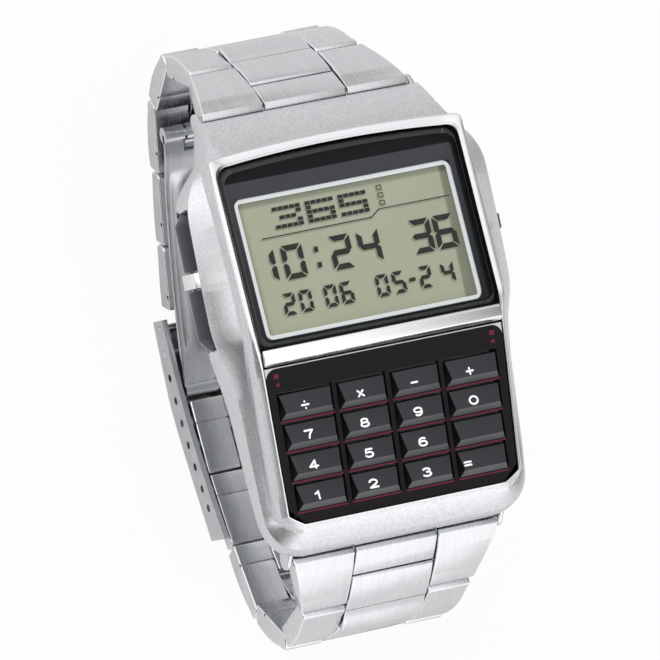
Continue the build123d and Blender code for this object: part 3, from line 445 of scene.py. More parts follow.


# The bar on the crest between display and keypad: solid steel, ground to a rounded top and polished; its
# hollow towards the display is not drawn. It lies in a groove of the case.
bar_steel = polished("bar_steel", (0.88, 0.89, 0.9), 0.14)
bar_corners = [(-2.69, 41.8), (-0.89, 42.0), (-0.88, 43.3), (-1.15, 43.5), (-1.75, 43.62), (-2.25, 43.52),
               (-2.67, 43.0)]
bar_outline = rounded(bar_corners, [0.05, 0.05, 0.1, 0.15, 0.4, 0.35, 0.3])
bar_half = 14.1
piece("centre_bar_polished", "watch_case", [prism(bar_outline, -bar_half, bar_half, 0.12)], [bar_steel],
      ["centre_bar"])


# The glass: mineral glass, its upper edge ground to a bevel and polished, printed black on the back. The
# print has a gloss border, a charcoal band round the window and a silver line against the display.
glass_plane, pad_plane = (math.radians(6.86), (9.94, 42.043)), (math.radians(-9.09), (-11.39, 41.32))
window_drop = 1.92


def on_plane(shape, plane, height):
    """Points (x, v) of a sloping face, lifted along its normal: y runs with cos(tilt), z falls with
    sin(tilt). The plane gives the tilt, and y and z of the face's heart."""
    tilt, heart = plane
    x, v = np.array(shape, float).T
    h = np.broadcast_to(height, len(x))
    return np.column_stack([x, heart[0] + v * math.cos(tilt) + h * math.sin(tilt),
                            heart[1] - v * math.sin(tilt) + h * math.cos(tilt)])


def on_slope(spot, plane):
    """x and v of a sloping face, from the x, y and z in a finish."""
    (x, y, z), (tilt, heart) = spot, plane
    return x, (y - heart[0]) * math.cos(tilt) - (z - heart[1]) * math.sin(tilt)


def glass_outline(grow):
    """Rectangle with an arched top, its corners rounded."""
    x = np.linspace(-1, 1, 25)[1:-1]
    half, head, foot, arch_high = 14.2 + grow, 10.15 + grow * 1.9, -10.7 - grow, 0.6
    arch = [(-v * half, head - arch_high * v * v) for v in x]
    corners = [(half, foot), (half, head - arch_high), *arch, (-half, head - arch_high), (-half, foot)]
    return rounded(corners, [1.1, 1.4] + [0.01] * len(arch) + [1.4, 1.1], 6)


def clear(name, least, rough):
    """Clear glass: see-through, with a mirror reflection that grows towards grazing angles."""
    f = Finish(name)
    dust = f.noise(f.place(), 1.5)
    skin = f.node("ShaderNodeBsdfPrincipled", sockets={
        "Base Color": (least, least, least), "Roughness": dust * 0.02 + rough, "IOR": 1.5, "Alpha": 1.0})
    see_through = f.node("ShaderNodeBsdfTransparent", sockets={"Color": (0.97, 0.98, 0.98)})
    edge = f.node("ShaderNodeLayerWeight", sockets={"Blend": 0.25}, out="Fresnel")
    share = (edge * 0.35 + least).held()
    return f.done(f.node("ShaderNodeMixShader", sockets={0: share, 1: see_through, 2: skin}))


# height of each ring of the glass under the face, and how far it stands out
glass_levels = [(-0.995, -0.02), (-0.7, -0.02), (-0.45, -0.16), (-0.03, -0.46), (0.0, -0.52)]
glass_skin = stacked([on_plane(glass_outline(grow), glass_plane, h) for h, grow in glass_levels],
                     [0, 0, 1, 0])
# On the bevel band, least 0.2 gives a grey base colour and a larger opaque share: a painted highlight along
# the polished bevel.
piece("crystal_bevelled", "watch_case", [glass_skin], [clear("glass_clear", 0.004, 0.01),
      clear("glass_bevel_painted_highlight", 0.2, 0.1)], ["crystal"], angle=20)


def soft_box(x, y, half_x, half_y, radius):
    """Distance to a rounded rectangle: below 0 inside it."""
    over_x, over_y = abs(x) - (half_x - radius), abs(y) - (half_y - radius)
    out_x, out_y = over_x.at_least(0.0), over_y.at_least(0.0)
    return (out_x * out_x + out_y * out_y).root() + over_x.at_least(over_y).up_to(0.0) - radius


def inside(distance, blur=0.03):
    return (0.5 - distance / blur).held()


def glass_print(name):
    """Black gloss print with a charcoal band; silver line round the window."""
    f = Finish(name)
    spot = f.place()
    x, v = on_slope(spot, glass_plane)
    band = inside(soft_box(x, v + 1.05, 13.5, 8.85, 0.35), 0.06)
    fade = ((v + 10.0) * (1 / 18.0)).held()
    charcoal = f.mix(fade, (0.018, 0.018, 0.022), (0.058, 0.056, 0.066))
    tone = f.mix(band, (0.006, 0.006, 0.007), charcoal)
    silver = inside(soft_box(x, v + window_drop, 12.84, 7.86, 0.95))
    tone = f.mix(silver, tone, f.mix(f.noise(spot, 6.0), (0.68, 0.69, 0.7), (0.76, 0.77, 0.78)))
    return f.surface(Base_Color=tone, Roughness=0.32 - silver * 0.05, Metallic=silver * 0.55,
                     Coat_Weight=0.06 * (1.0 - silver), Specular_IOR_Level=0.12)


def dress(finish, *names):
    """Gives carried-over CAD pieces their finish."""
    for name in names:
        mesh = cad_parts[name].data
        mesh.materials.clear()
        mesh.materials.append(finish)


dress(glass_print("glass_print"), "glass_mask")


# The display rim: a stamped sheet under the print, sprayed light silver, with a window whose corners are
# rounded. The thin shadow of its inner edge is painted into the display's colour.
def window(half_x, half_y, radius):
    corners = [(x, y - window_drop) for x, y in ((-half_x, -half_y), (half_x, -half_y), (half_x, half_y),
                                                 (-half_x, half_y))]
    return rounded(corners, radius, 8)


def rim_finish(name):
    """Light silver paint inside the print's rounded outline, black beyond it."""
    f = Finish(name)
    spot = f.place()
    x, v = on_slope(spot, glass_plane)
    silver = inside(soft_box(x, v + window_drop, 12.86, 7.88, 1.0))
    paint = f.mix(f.noise(spot, 7.0), (0.74, 0.745, 0.75), (0.82, 0.825, 0.83))
    return f.surface(Base_Color=f.mix(silver, (0.008, 0.008, 0.009), paint), Metallic=silver * 0.3,
                     Roughness=0.42 - silver * 0.06)


rim_low, rim_high = -1.29, -1.12
rim_outer, rim_inner = window(13.0, 8.55, 0.5), window(12.38, 7.39, 0.3)
rim_rings = [on_plane(outline, glass_plane, height) for outline, height in (
    (rim_outer, rim_low), (rim_outer, rim_high), (rim_inner, rim_high), (rim_inner, rim_low))]
piece("display_rim", "watch_case", [stacked(rim_rings, closed=True)], [rim_finish("rim_silver")],
      ["lcd_frame"])


# The display: a liquid crystal cell over a grey-green reflector. Its digits are thin films in the upper
# glass; the shadow that each throws on the reflector below is painted, as a darker copy of the digit.
lcd_half_x, lcd_half_y = 12.33, 7.34


def reflector(name):
    """Speckled grey-green, with painted shade darker towards its rim, and the rim's shadow painted along
    the top, left and right.
    """
    f = Finish(name)
    spot = f.place()
    x, v = on_slope(spot, glass_plane)
    speck = f.noise(spot, 5.0, 3.0)
    rim_painted_shade = ((soft_box(x, v + window_drop, lcd_half_x, lcd_half_y, 0.5) + 0.9) * 0.5).held()
    tone = f.mix((speck * 0.7 + 0.15).held(), (0.36, 0.362, 0.262), (0.425, 0.428, 0.308))
    # Painted shadow of the rim along the top, left and right, and painted shade near the rim, mixed into
    # the colour.
    top = ((v - 4.7) * 3.0).held()
    left, right = (1.0 - (x + lcd_half_x) * 1.7).held(), ((x - 11.2 - v * 0.04) * 3.0).held()
    dark = (rim_painted_shade * 0.2 + top * 0.45 + left * 0.35 + right * 0.62).held()
    return f.surface(Base_Color=f.mix(dark, tone, (0.09, 0.094, 0.06)), Roughness=0.55, Coat_Weight=0.15)


def film(name, colour):
    f = Finish(name)
    return f.surface(Base_Color=f.mix(f.noise(f.place(), 3.0), colour, toned(colour, 1.35)), Roughness=0.5)


dress(reflector("lcd_reflector"), "lcd_panel")
lit = {"0": "abcdef", "1": "bc", "2": "abged", "3": "abgcd", "4": "fgbc", "5": "afgcd", "6": "afgedc"}


def segment(kind, wide, tall, bold):
    """Outline of one of seven mitred strokes in a box of the digit's width and height."""
    g, b, m = 0.07, bold, tall / 2
    if kind == "g":
        return [(g + b * 0.7, m + b / 2), (wide - g - b * 0.7, m + b / 2), (wide - g - b * 0.2, m),
                (wide - g - b * 0.7, m - b / 2), (g + b * 0.7, m - b / 2), (g + b * 0.2, m)]
    if kind in "ad":
        shape = [(b * 0.15 + g, tall), (wide - b * 0.15 - g, tall), (wide - b - g, tall - b),
                 (b + g, tall - b)]
    else:
        shape = [(wide, tall - b * 0.15 - g), (wide, m + g + b * 0.2), (wide - b * 0.5, m + g),
                 (wide - b, m + b * 0.5 + g), (wide - b, tall - b - g)]
    if kind in "cde":
        shape = [(x, tall - y) for x, y in shape]
    if kind in "ef":
        shape = [(wide - x, y) for x, y in shape]
    return shape[::-1] if kind in "cdf" else shape


def block(x, y, wide, tall):
    return [(x, y), (x + wide, y), (x + wide, y + tall), (x, y + tall)]


def digits(signs, places, foot, wide, tall, bold):
    """Strokes of a row of digits, each from its own x."""
    return [[(x + a, foot + b) for a, b in segment(kind, wide, tall, bold)]
            for sign, x in zip(signs, places) for kind in lit[sign]]


strokes = digits("102436", (-12.15, -8.8, -3.15, 0.2, 6.4, 9.25), -3.68, 2.55, 3.8, 0.62)
strokes += [block(-4.95, -1.25, 0.5, 0.6), block(-4.95, -3.0, 0.5, 0.6)]
strokes += digits("20060524", (-9.95, -8.0, -5.05, -3.15, 1.1, 3.05, 6.2, 8.9), -7.5, 1.5, 2.45, 0.42)
strokes.append(block(5.0, -6.475, 0.75, 0.4))
dots = {"3": ("11111", "00001", "01110", "00001", "11111"),
        "6": ("11111", "10000", "11111", "10001", "11111"),
        "5": ("11111", "10000", "11111", "00001", "11111")}
dot_pitch, dot_wide, dot_tall = (0.68, 0.5), 0.6, 0.42
for sign, x in zip("365", (-8.6, -4.7, -0.8)):
    for row, row_dots in enumerate(dots[sign]):
        strokes += [block(x + column * dot_pitch[0], 4.0 - row * dot_pitch[1], dot_wide, dot_tall)
                    for column, dot in enumerate(row_dots) if dot == "1"]
strokes.append([(-10.5, 1.2), (2.55, 1.25), (3.6, 2.0), (12.0, 2.0), (12.0, 2.1), (3.55, 2.1), (2.5, 1.36),
                (-10.5, 1.31)])
mark_x, mark_wide, mark_tall, mark_line = 3.85, 0.62, 0.56, 0.09
for v in (4.1, 3.25, 2.4):
    strokes += [block(mark_x, v + up, mark_wide, mark_line) for up in (0.0, mark_tall - mark_line)]
    strokes += [block(mark_x + along, v + mark_line, mark_line, mark_tall - 2 * mark_line)
                for along in (0.0, mark_wide - mark_line)]


def printed(shapes, plane, low, high):
    """Flat shapes on a sloping face, each a thin closed slab."""
    return [stacked([on_plane(shape, plane, height) for height in (low, high)]) for shape in shapes]


# Each digit's shadow on the reflector is painted: a darker copy of its strokes, moved left and down, under
# the digits.
painted_digit_shadows = [np.array(stroke) + (-0.2, -0.18) for stroke in strokes]
piece("display_digits", "watch_case", printed(strokes, glass_plane, -1.28, -1.255),
      [film("segment_dark", (0.013, 0.011, 0.008))])
piece("display_painted_shadows", "watch_case", printed(painted_digit_shadows, glass_plane, -1.298, -1.285),
      [film("segment_painted_shadow", (0.215, 0.22, 0.16))])


# The keypad plate: black moulded resin set into the case, with a hole for each key. A thin dark red line is
# printed under every key, and two small red marks stand at each upper corner.
def pad_finish(name):
    """Black resin with a faint mottle; beyond the plate's rounded upper corners the case's silver shows."""
    f = Finish(name)
    spot = f.place()
    x, v = on_slope(spot, pad_plane)
    black = inside(soft_box(x, v + 12.0, 14.08, 20.5, 1.3))
    resin = f.mix(f.noise(spot, 5.0), (0.0062, 0.0045, 0.0062), (0.0088, 0.0066, 0.0088))
    return f.surface(Base_Color=f.mix(black, (0.6, 0.61, 0.62), resin), Metallic=1.0 - black,
                     Roughness=0.36 + black * 0.14, Specular_IOR_Level=0.14,
                     Normal=f.bump(f.noise(spot, 30.0, 1.0), 0.000006, 0.4))


dress(pad_finish("pad_black"), "keypad_panel")
row_feet = (2.8, -0.57, -3.94, -7.31)
key_long, ridge_run, ridge_high, head_high = 2.73, 0.76, 0.8, 0.08
inner_span, outer_start, outer_ends = (0.42, 5.95), 6.75, (12.95, 12.8, 12.65, 12.5)


def key_spans(row):
    """Low and high x of the four keys in a row."""
    (a, b), c, d = inner_span, outer_start, outer_ends[row]
    return [(-d, -c), (-b, -a), (a, b), (c, d)]


marks = [block(left - 0.1, foot - 0.31, right - left + 0.16, 0.15)
         for row, foot in enumerate(row_feet) for left, right in key_spans(row)]
for side in (-1, 1):
    marks.append(block(side * 12.83 - 0.28, 7.4, 0.56, 0.52))
    marks.append([(side * 12.8 - 0.3, 6.7), (side * 12.8 + 0.22, 6.44), (side * 12.8 + 0.22, 6.96)])
piece("keypad_lines", "watch_case", printed(marks, pad_plane, -0.01, 0.02),
      [plain("line_red", (0.12, 0.009, 0.028), 0.5, shine=0.25)])


# Sixteen keys: moulded wedges of one black resin, high at a ridge near the foot, with a front bevel and
# sloping sides. The bevel's lighter colour is painted light and the sides' near black is painted shade. The
# top is finely sanded. Their signs are printed white.
# One black resin three times: the top as moulded, the bevel lighter as painted light, the sides near black
# as painted shade.
key_finishes = [
    plain("key_top", (0.025, 0.025, 0.029), 0.6, mottle=0.3, scale=7.0, dent=0.00001, shine=0.3),
    plain("key_bevel_painted_light", (0.06, 0.062, 0.067), 0.4, mottle=0.12, scale=5.0),
    plain("key_side_painted_shade", (0.006, 0.0045, 0.0055), 0.5, shine=0.2)]
TOP, BEVEL, SIDE_PAINTED_SHADE = range(3)
legend_white = plain("legend_white", (0.85, 0.85, 0.86), 0.5, mottle=0.02)
signs = ("/x-+", "7890", "456 ", "123=")


def key_skin(left, right, foot):
    """Wedge profile carried across the key; its sides lean in with height. The profile's bands take the
    colour of the face that they belong to: painted light on the front bevel, painted shade on the sides."""
    ridge, head, steps = foot + ridge_run, foot + key_long, 4
    corners = [(foot, -0.74), (head, -0.74), (head, head_high), (ridge, ridge_high), (foot, 0.1)]
    outline = rounded(corners, [0.03, 0.03, 0.05, 0.06, 0.04], steps)
    lean = np.maximum(outline[:, 1], 0) * 0.42 + np.clip(outline[:, 0] - foot, 0, 0.2) * 0.3
    p, faces, shades = prism(outline, left + lean, right - lean, 0.05, end_picks=(SIDE_PAINTED_SHADE, SIDE_PAINTED_SHADE))
    band = np.full(len(outline), SIDE_PAINTED_SHADE)
    band[3 * steps - 1:4 * steps - 2] = TOP
    band[4 * steps - 2:5 * steps - 2] = BEVEL
    shades[:-2] = np.tile(band, (len(faces) - 2) // len(outline)).tolist()
    return on_plane(p[:, :2], pad_plane, p[:, 2]), faces, shades


# every sign as pen strokes in a box of height 1 and width 1
pen_strokes = {
    "0": [arc(0.5, 0.5, 0.48, 0.5, 0, 360, 28)],
    "1": [[(0.22, 0.72), (0.5, 0.82), (0.6, 1.0), (0.6, 0.0)]],
    "2": [arc(0.48, 0.68, 0.44, 0.32, 165, -20) + [(0.78, 0.42), (0.06, 0.0), (0.98, 0.0)]],
    "3": [arc(0.47, 0.76, 0.4, 0.24, 150, -90) + arc(0.47, 0.27, 0.47, 0.27, 90, -155)],
    "4": [[(0.98, 0.26), (0.02, 0.26), (0.7, 1.0), (0.7, 0.0)]],
    "5": [[(0.9, 1.0), (0.2, 1.0), (0.12, 0.55)] + arc(0.48, 0.31, 0.46, 0.31, 120, -155)],
    "6": [arc(0.52, 0.3, 0.44, 0.3, 0, 360, 22), [(0.08, 0.3)] + arc(0.56, 0.45, 0.48, 0.55, 180, 55)],
    "7": [[(0.03, 1.0), (0.95, 1.0), (0.55, 0.45), (0.42, 0.0)]],
    "8": [arc(0.5, 0.76, 0.38, 0.24, 0, 360, 22), arc(0.5, 0.27, 0.46, 0.27, 0, 360, 22)],
    "9": [arc(0.48, 0.7, 0.44, 0.3, 0, 360, 22), [(0.92, 0.7)] + arc(0.44, 0.55, 0.48, 0.55, 0, -125)],
    "+": [[(0.5, 0.1), (0.5, 0.9)], [(0.06, 0.5), (0.94, 0.5)]],
    "-": [[(0.1, 0.5), (0.9, 0.5)]],
    "x": [[(0.14, 0.14), (0.86, 0.86)], [(0.14, 0.86), (0.86, 0.14)]],
    "/": [[(0.04, 0.5), (0.96, 0.5)], [(0.5, 0.93), (0.5, 0.94)], [(0.5, 0.06), (0.5, 0.07)]],
    "=": [[(0.06, 0.3), (0.94, 0.3)], [(0.06, 0.7), (0.94, 0.7)]],
}


def pen(line, bold):
    """Outlines of a drawn line: one bar per step, then one disc per joint."""
    p = np.array(line, float)
    side = unit(np.diff(p, axis=0)) @ np.array([[0, 1], [-1, 0]]) * bold / 2
    bars = np.stack([p[:-1] - side, p[1:] - side, p[1:] + side, p[:-1] + side], 1)
    return [*bars, *(arc(x, y, bold / 2, bold / 2, 0, 330, 12) for x, y in p)]


def sign_skins(sign, x, foot, wide, tall, bold):
    """The sign's strokes as thin slabs on the key's sloping top; those that overlap differ a little in
    height."""
    fall = (ridge_high - head_high) / (key_long - ridge_run)
    middle = foot + (1.3 if foot > 0 else 1.42)
    skins = []
    for line in pen_strokes[sign]:
        for n, shape in enumerate(pen(np.array(line) * [wide, tall], bold)):
            bar = n < len(line) - 1
            thick = 0.015 + 0.004 * (n % 4) if bar else 0.033 + 0.004 * (n % 3)
            spots = np.array(shape) + [x - wide / 2, middle - tall / 2]
            high = ridge_high - (spots[:, 1] - foot - ridge_run) * fall
            skins.append(stacked([on_plane(spots, pad_plane, high + lift) for lift in (0.0, thick)]))
    return skins


sign_middles = (-10.2, -3.62, 2.76, 9.38)
for row, foot in enumerate(row_feet):
    for column, (left, right) in enumerate(key_spans(row)):
        name, sign = "abcd"[column] + str(row + 1), signs[row][column]
        piece("keycap_" + name, "key_" + name + "_body", [key_skin(left, right, foot)], key_finishes,
              ["key_" + name], angle=50)
        if sign != " ":
            middle = 7.65 if sign == "=" else sign_middles[column]
            wide = 0.85 if sign in "/x-+=" else 0.98
            piece("sign_" + name, "key_" + name + "_body", sign_skins(sign, middle, foot, wide, 0.8, 0.2),
                  [legend_white])


# Four side buttons: dark grey metal bars let into the belt of the case, pointed away from the polished
# spacer that parts them. Each has a stem into the case.
button_grey = plain("button_grey", (0.05, 0.047, 0.056), 0.34, metal=0.7, mottle=0.15, scale=2.0)
button_edge = polished("button_edge", (0.34, 0.34, 0.37), 0.25)
button_inner_x, button_middle_z = 17.18, 37.2
# the stem and its collar: ends in x, radius
stem_rods = ((11.95, 17.4, 0.7), (12.15, 12.55, 0.95))
button_section = np.array([(17.18, 35.45), (18.0, 35.42), (18.28, 35.62), (18.35, 36.0), (18.28, 36.9),
                           (18.08, 37.8), (17.8, 38.4), (17.55, 38.58), (17.18, 38.6)])
button_levels = (("upper", 9.16, 15.61), ("lower", 0.26, 6.96))


def button_skin(side, foot, head, point_up):
    """Cross-sections in x and z along the button; near its point the outer faces fall in to the flank. The
    lower outer edge is polished."""
    start, way = (foot, 1) if point_up else (head, -1)
    long = abs(head - foot)
    along = [(0.0, 0.12), (0.04, 0.05), (0.14, 0.0), (long - 1.5, 0.0), (long - 1.3, 0.05),
             (long - 0.05, 0.85), (long, 0.9)]
    layers = []
    for step, pull in along:
        x, z = button_section.T
        x = button_inner_x + (x - button_inner_x) * (1 - pull * 0.95)
        z = z + (button_middle_z - z) * pull * 0.25
        layers.append(np.column_stack([side * x, np.full(len(x), start + way * step), z]))
    p, faces, shades = stacked(layers)
    edge = np.isin(np.arange(len(faces) - 2) % len(button_section), (1, 2))
    shades[:-2] = edge.astype(int).tolist()
    return p, faces, shades


for side, side_name in ((1, "right"), (-1, "left")):
    for level, foot, head in button_levels:
        centre = ((foot + head) / 2, stem_height)
        name = level + "_" + side_name
        skins = [button_skin(side, foot, head, level == "upper")]
        skins += [rod(side * start, side * end, centre, radius) for start, end, radius in stem_rods]
        bar = piece("side_bar_" + name, "button_" + name + "_body", skins, [button_grey, button_edge],
                    ["button_" + name])
        eased(bar, 0.08, angle=25.0)
spacer_corners = [(35.25, 16.95), (38.3, 16.95), (38.75, 17.4), (38.4, 18.2), (37.7, 18.5), (35.25, 18.5)]
spacer_face = rounded(spacer_corners, [0.05, 0.05, 0.1, 0.15, 0.2, 0.15], 4)
spacer_levels = ((7.2, 0.1), (7.24, 0.03), (7.34, 0.0), (8.78, 0.0), (8.88, 0.03), (8.92, 0.1))
spacer_skins = []
for side in (1, -1):
    layers = [(y, inset(spacer_face, tight)) for y, tight in spacer_levels]
    spacer_skins.append(stacked([np.column_stack([side * shape[:, 1], np.full(len(shape), y), shape[:, 0]])
                                 for y, shape in layers]))
piece("side_spacers", "watch_case", spacer_skins, [polished("spacer_steel", (0.85, 0.86, 0.87), 0.08)],
      ["button_spacers"])


# The bracelet: solid stainless links, brushed along their length, with polished bevels. Each has two edge
# plates joined by a riveted pin, and a centre plate whose tongue turns on the pin between the next pair.
def brushed(name, colour, gloss, across):
    """Fine streaks that run along the bracelet: noise squeezed across x and drawn out along y and z."""
    f = Finish(name)
    x, y, z = f.place()
    streak = f.noise((x * across, y * 0.55, z * 0.55), 1.0, 4.0)
    broad = f.noise((x * 1.3, y * 0.12, z * 0.12), 1.0)
    shade = ((streak - 0.5) * 1.3 + (broad - 0.5) * 0.45 + 0.5).held()
    return f.surface(Base_Color=f.mix(shade, toned(colour, 0.84), toned(colour, 1.1)), Metallic=1.0,
                     Roughness=(gloss + (streak - 0.5) * 0.16).held(),
                     Normal=f.bump(streak, 0.000012, 0.55))


link_finishes = [brushed("link_brushed", (0.68, 0.69, 0.7), 0.25, 13.0),
                 polished("link_bevel", (0.84, 0.85, 0.86), 0.14)]
FACE, EDGE = range(2)
upper_pins = np.array([(24.91, 33.6), (30.39, 26.59), (32.58, 18.27), (28.01, 10.99), (20.24, 7.31),
                       (12.18, 4.29), (3.99, 1.69)])
lower_pins = np.array([(-23.69, 33.6), (-30.03, 27.35), (-32.58, 18.82), (-28.5, 10.91), (-20.53, 6.95),
                       (-12.05, 4.26), (-3.25, 2.91)])
pin_halves = (12.1, 10.0, 9.5, 9.2, 9.0, 9.0, 9.0)
half_thick, tongue_long, centre_half = 1.15, 3.1, 4.85
plate_gap, side_gap, cover_room = 0.28, 0.17, 0.9
pin_end, pin_radius, bridge_half = centre_half + 0.4, 0.55, 0.8
crown_high, pin_low = (0.28, 0.4, 0.4, 0.32, 0.0, 0.0, 0.0), 0.3


def crowned(outline, pins, index, out):
    """The outer face of a link is arched: highest in the middle, lower over both pins. What lies past the
    second pin follows the next link's arch."""
    filled = []
    for a, b in zip(outline, np.roll(outline, -1, 0)):
        for t in np.arange(0, 1, 1 / max(1, math.ceil(np.linalg.norm(b - a) / 0.9))):
            filled.append(a + (b - a) * t)
    p = np.array(filled)
    past = (p - pins[index + 1]) @ unit(pins[index + 1] - pins[index]) > 0
    past &= index + 2 < len(pins)
    for k, mine in ((index, ~past), (index + 1, past)):
        if mine.any():
            length = np.linalg.norm(pins[k + 1] - pins[k])
            along = (pins[k + 1] - pins[k]) / length
            face = out * np.array([-along[1], along[0]])
            t, high = np.clip((p - pins[k]) @ along / length, 0, 1), (p - pins[k]) @ face
            arch = 4 * t * (1 - t)
            low = np.where((k == 0) & (t < 0.5), 0.0, pin_low)
            shift = (crown_high[k] * arch - low * (1 - arch)) * np.clip(high / half_thick, 0, 1)
            p = p + np.where(mine, shift, 0.0)[:, None] * face
    return p


def link_plate(outline, low, high):
    """A plate of a link: brushed on its outer faces, polished on its rounded edges."""
    return prism(outline, low, high, 0.16, 4, [EDGE] * 3 + [FACE] + [EDGE] * 3, (FACE, FACE))


def link_parts(pins, index, out):
    """Side views in (y, z). Edge plates run from round the first pin to a flat end before the second; the
    centre plate starts past the neighbour's tongue, bends at the second pin and ends in its own tongue."""
    start, end = pins[index], pins[index + 1]
    length = np.linalg.norm(end - start)
    along = (end - start) / length
    face = out * np.array([-along[1], along[0]])
    first, last = index == 0, index == len(pins) - 2
    h = half_thick
    stop = length - h - plate_gap - (cover_room if last and out > 0 else 0.0)

    def lay(shape):
        shape = np.array(shape)
        return start + shape[:, :1] * along + shape[:, 1:] * face

    fold = length / 2 + 0.4
    seam = [(fold - 0.1, -h), (fold - 0.05, -h + 0.18), (fold + 0.05, -h + 0.18), (fold + 0.1, -h)]
    if first:
        side = [(-1.1, -0.85), (-0.7, -h), *seam, (stop, -h), (stop, h), (5.6, h), (1.6, 1.45),
                (-0.55, 1.45), (-1.02, 0.5)]
        radii = [0.3, 0.4, 0.03, 0.02, 0.02, 0.03, 0.2, 0.25, 2.0, 3.0, 0.14, 0.3]
    else:
        side = [(-h, -h), *seam, (stop, -h), (stop, h), (-h, h)]
        radii = [0.62, 0.03, 0.02, 0.02, 0.03, 0.2, 0.25, 0.62]
    edge = crowned(rounded(lay(side), radii), pins, index, out)
    share = np.clip((edge - start) @ along / length, -0.15, 1)
    wide = pin_halves[index] + (pin_halves[index + 1] - pin_halves[index]) * share
    inner = np.full(len(edge), centre_half + side_gap)
    skins = [link_plate(edge, inner, wide), link_plate(edge, -wide, -inner)]
    begin = start + along * (tongue_long + plate_gap)
    if last:
        tip, lift = end + along * h, face
        centre = [begin - face * h, tip - lift * h, tip + lift * h, begin + face * h]
        radii = [0.2, 0.9, 0.9, 0.3]
    else:
        beyond = unit(along + unit(pins[index + 2] - end))
        lift = out * np.array([-beyond[1], beyond[0]])
        tip = end + beyond * tongue_long
        knee = unit(face + lift)
        knee = knee * h / (knee @ face)
        centre = [begin - face * h, end - knee, tip - lift * h, tip + lift * h, end + knee,
                  begin + face * h]
        radii = [0.2, 2.5, 0.4, 0.4, 2.5, 0.3]
    centre = crowned(rounded(centre, radii, 8), pins, index, out)
    skins.append(link_plate(centre, -centre_half, centre_half))
    if first:
        nose = [(-1.1, -0.85), (-0.7, -h), (3.12, -h), (3.12, 1.37), (1.6, 1.45), (-0.55, 1.45),
                (-1.02, 0.5)]
        nose = rounded(lay(nose), [0.3, 0.4, 0.2, 0.25, 3.0, 0.14, 0.3])
        skins.append(link_plate(nose, -centre_half, centre_half))
    else:
        skins.append(rod(-pin_end, pin_end, start, pin_radius))
    near, far = tongue_long + 0.6, stop - (0.6 if first or last else 0.5)
    bridge = lay([(near, -bridge_half), (far, -bridge_half), (far, bridge_half), (near, bridge_half)])
    skins.append(prism(rounded(bridge, 0.2, 3), -pin_end, pin_end, 0.05))
    return skins


for chain, pins, out in (("upper", upper_pins, 1), ("lower", lower_pins, -1)):
    for index in range(6):
        tag = "_" + str(index + 1)
        piece("link_" + chain + tag, chain + "_body" + tag, link_parts(pins, index, out), link_finishes,
              [chain + "_link" + tag], angle=40)


# The clasp: three leaves of brushed steel sheet. The cover is a channel with two rows of adjusting holes,
# the inner leaf has a stamped groove near each edge, and the middle leaf folds under it. Steel bars join
# them.
clasp_brushed = brushed("clasp_brushed", (0.64, 0.65, 0.66), 0.24, 9.0)
pin_steel = polished("pin_steel", (0.8, 0.81, 0.82), 0.16)


def eased_copy(name, node_name, body, finish, width):
    """A carried-over piece with its sharp edges rounded."""
    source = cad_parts[node_name]
    mesh = source.data.copy()
    mesh.transform(source.matrix_world)
    mesh.materials.clear()
    mesh.materials.append(finish)
    made = placed(name, mesh)
    eased(made, width, angle=30.0)
    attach(made, body)
    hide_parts(node_name)


eased_copy("cover_channel", "clasp_cover", "cover_body", clasp_brushed, 0.12)
eased_copy("cover_bars", "clasp_bars", "cover_body", pin_steel, 0.05)
eased_copy("middle_leaf_sheet", "leaf_middle", "middle_leaf_body", clasp_brushed, 0.1)
eased_copy("leaf_hinge_pins", "leaf_pins", "inner_leaf_body", pin_steel, 0.05)


def smooth_path(points, radius):
    """Open path with its bends turned into arcs, and its direction at each point."""
    p = np.array(points, float)
    spots = [p[:1]]
    for before, bend, after in zip(p[:-2], p[1:-1], p[2:]):
        run = min(radius, np.linalg.norm(bend - before) * 0.48, np.linalg.norm(after - bend) * 0.48)
        first, last = bend + unit(before - bend) * run, bend + unit(after - bend) * run
        spots.append(bowed(first, bend, last, np.linspace(0, 1, 8)[:, None]))
    spots = np.concatenate([*spots, p[-1:]])
    return spots, unit(np.gradient(spots, axis=0))


def run_along(spots):
    """Distance from the path's start to each of its points."""
    return np.concatenate([[0], np.cumsum(np.linalg.norm(np.diff(spots, axis=0), axis=1))])


def sheet(spots, way, low, high, thick, groove=0.0, deep=0.0):
    """Bent sheet between low and high x, carried along a path in (y, z). A pair of stamped grooves, at
    groove from the middle, runs along it and fades out at both ends."""
    across = np.array([-way[:, 1], way[:, 0]]).T
    u = np.linspace(low + 0.1, high - 0.1, 90)
    run = run_along(spots)
    share = np.clip(np.minimum(run - 2.5, run[-1] - 2.5 - run) / 1.2, 0, 1)
    stamp = sum(deep * np.clip(1.25 - np.abs(u - at), 0, 1) ** 0.5 for at in (groove, -groove))
    half, flat = thick / 2, thick / 2 - 0.12
    layers = []
    for spot, lift, fade in zip(spots, across, share):
        dip = stamp * fade
        upper, lower = np.column_stack([u, half - dip]), np.column_stack([u, -half - dip])[::-1]
        ring = np.concatenate([upper, [(high, flat), (high, -flat)], lower, [(low, -flat), (low, flat)]])
        layers.append(np.column_stack([ring[:, 0], spot + ring[:, 1:] * lift]))
    return stacked(layers)


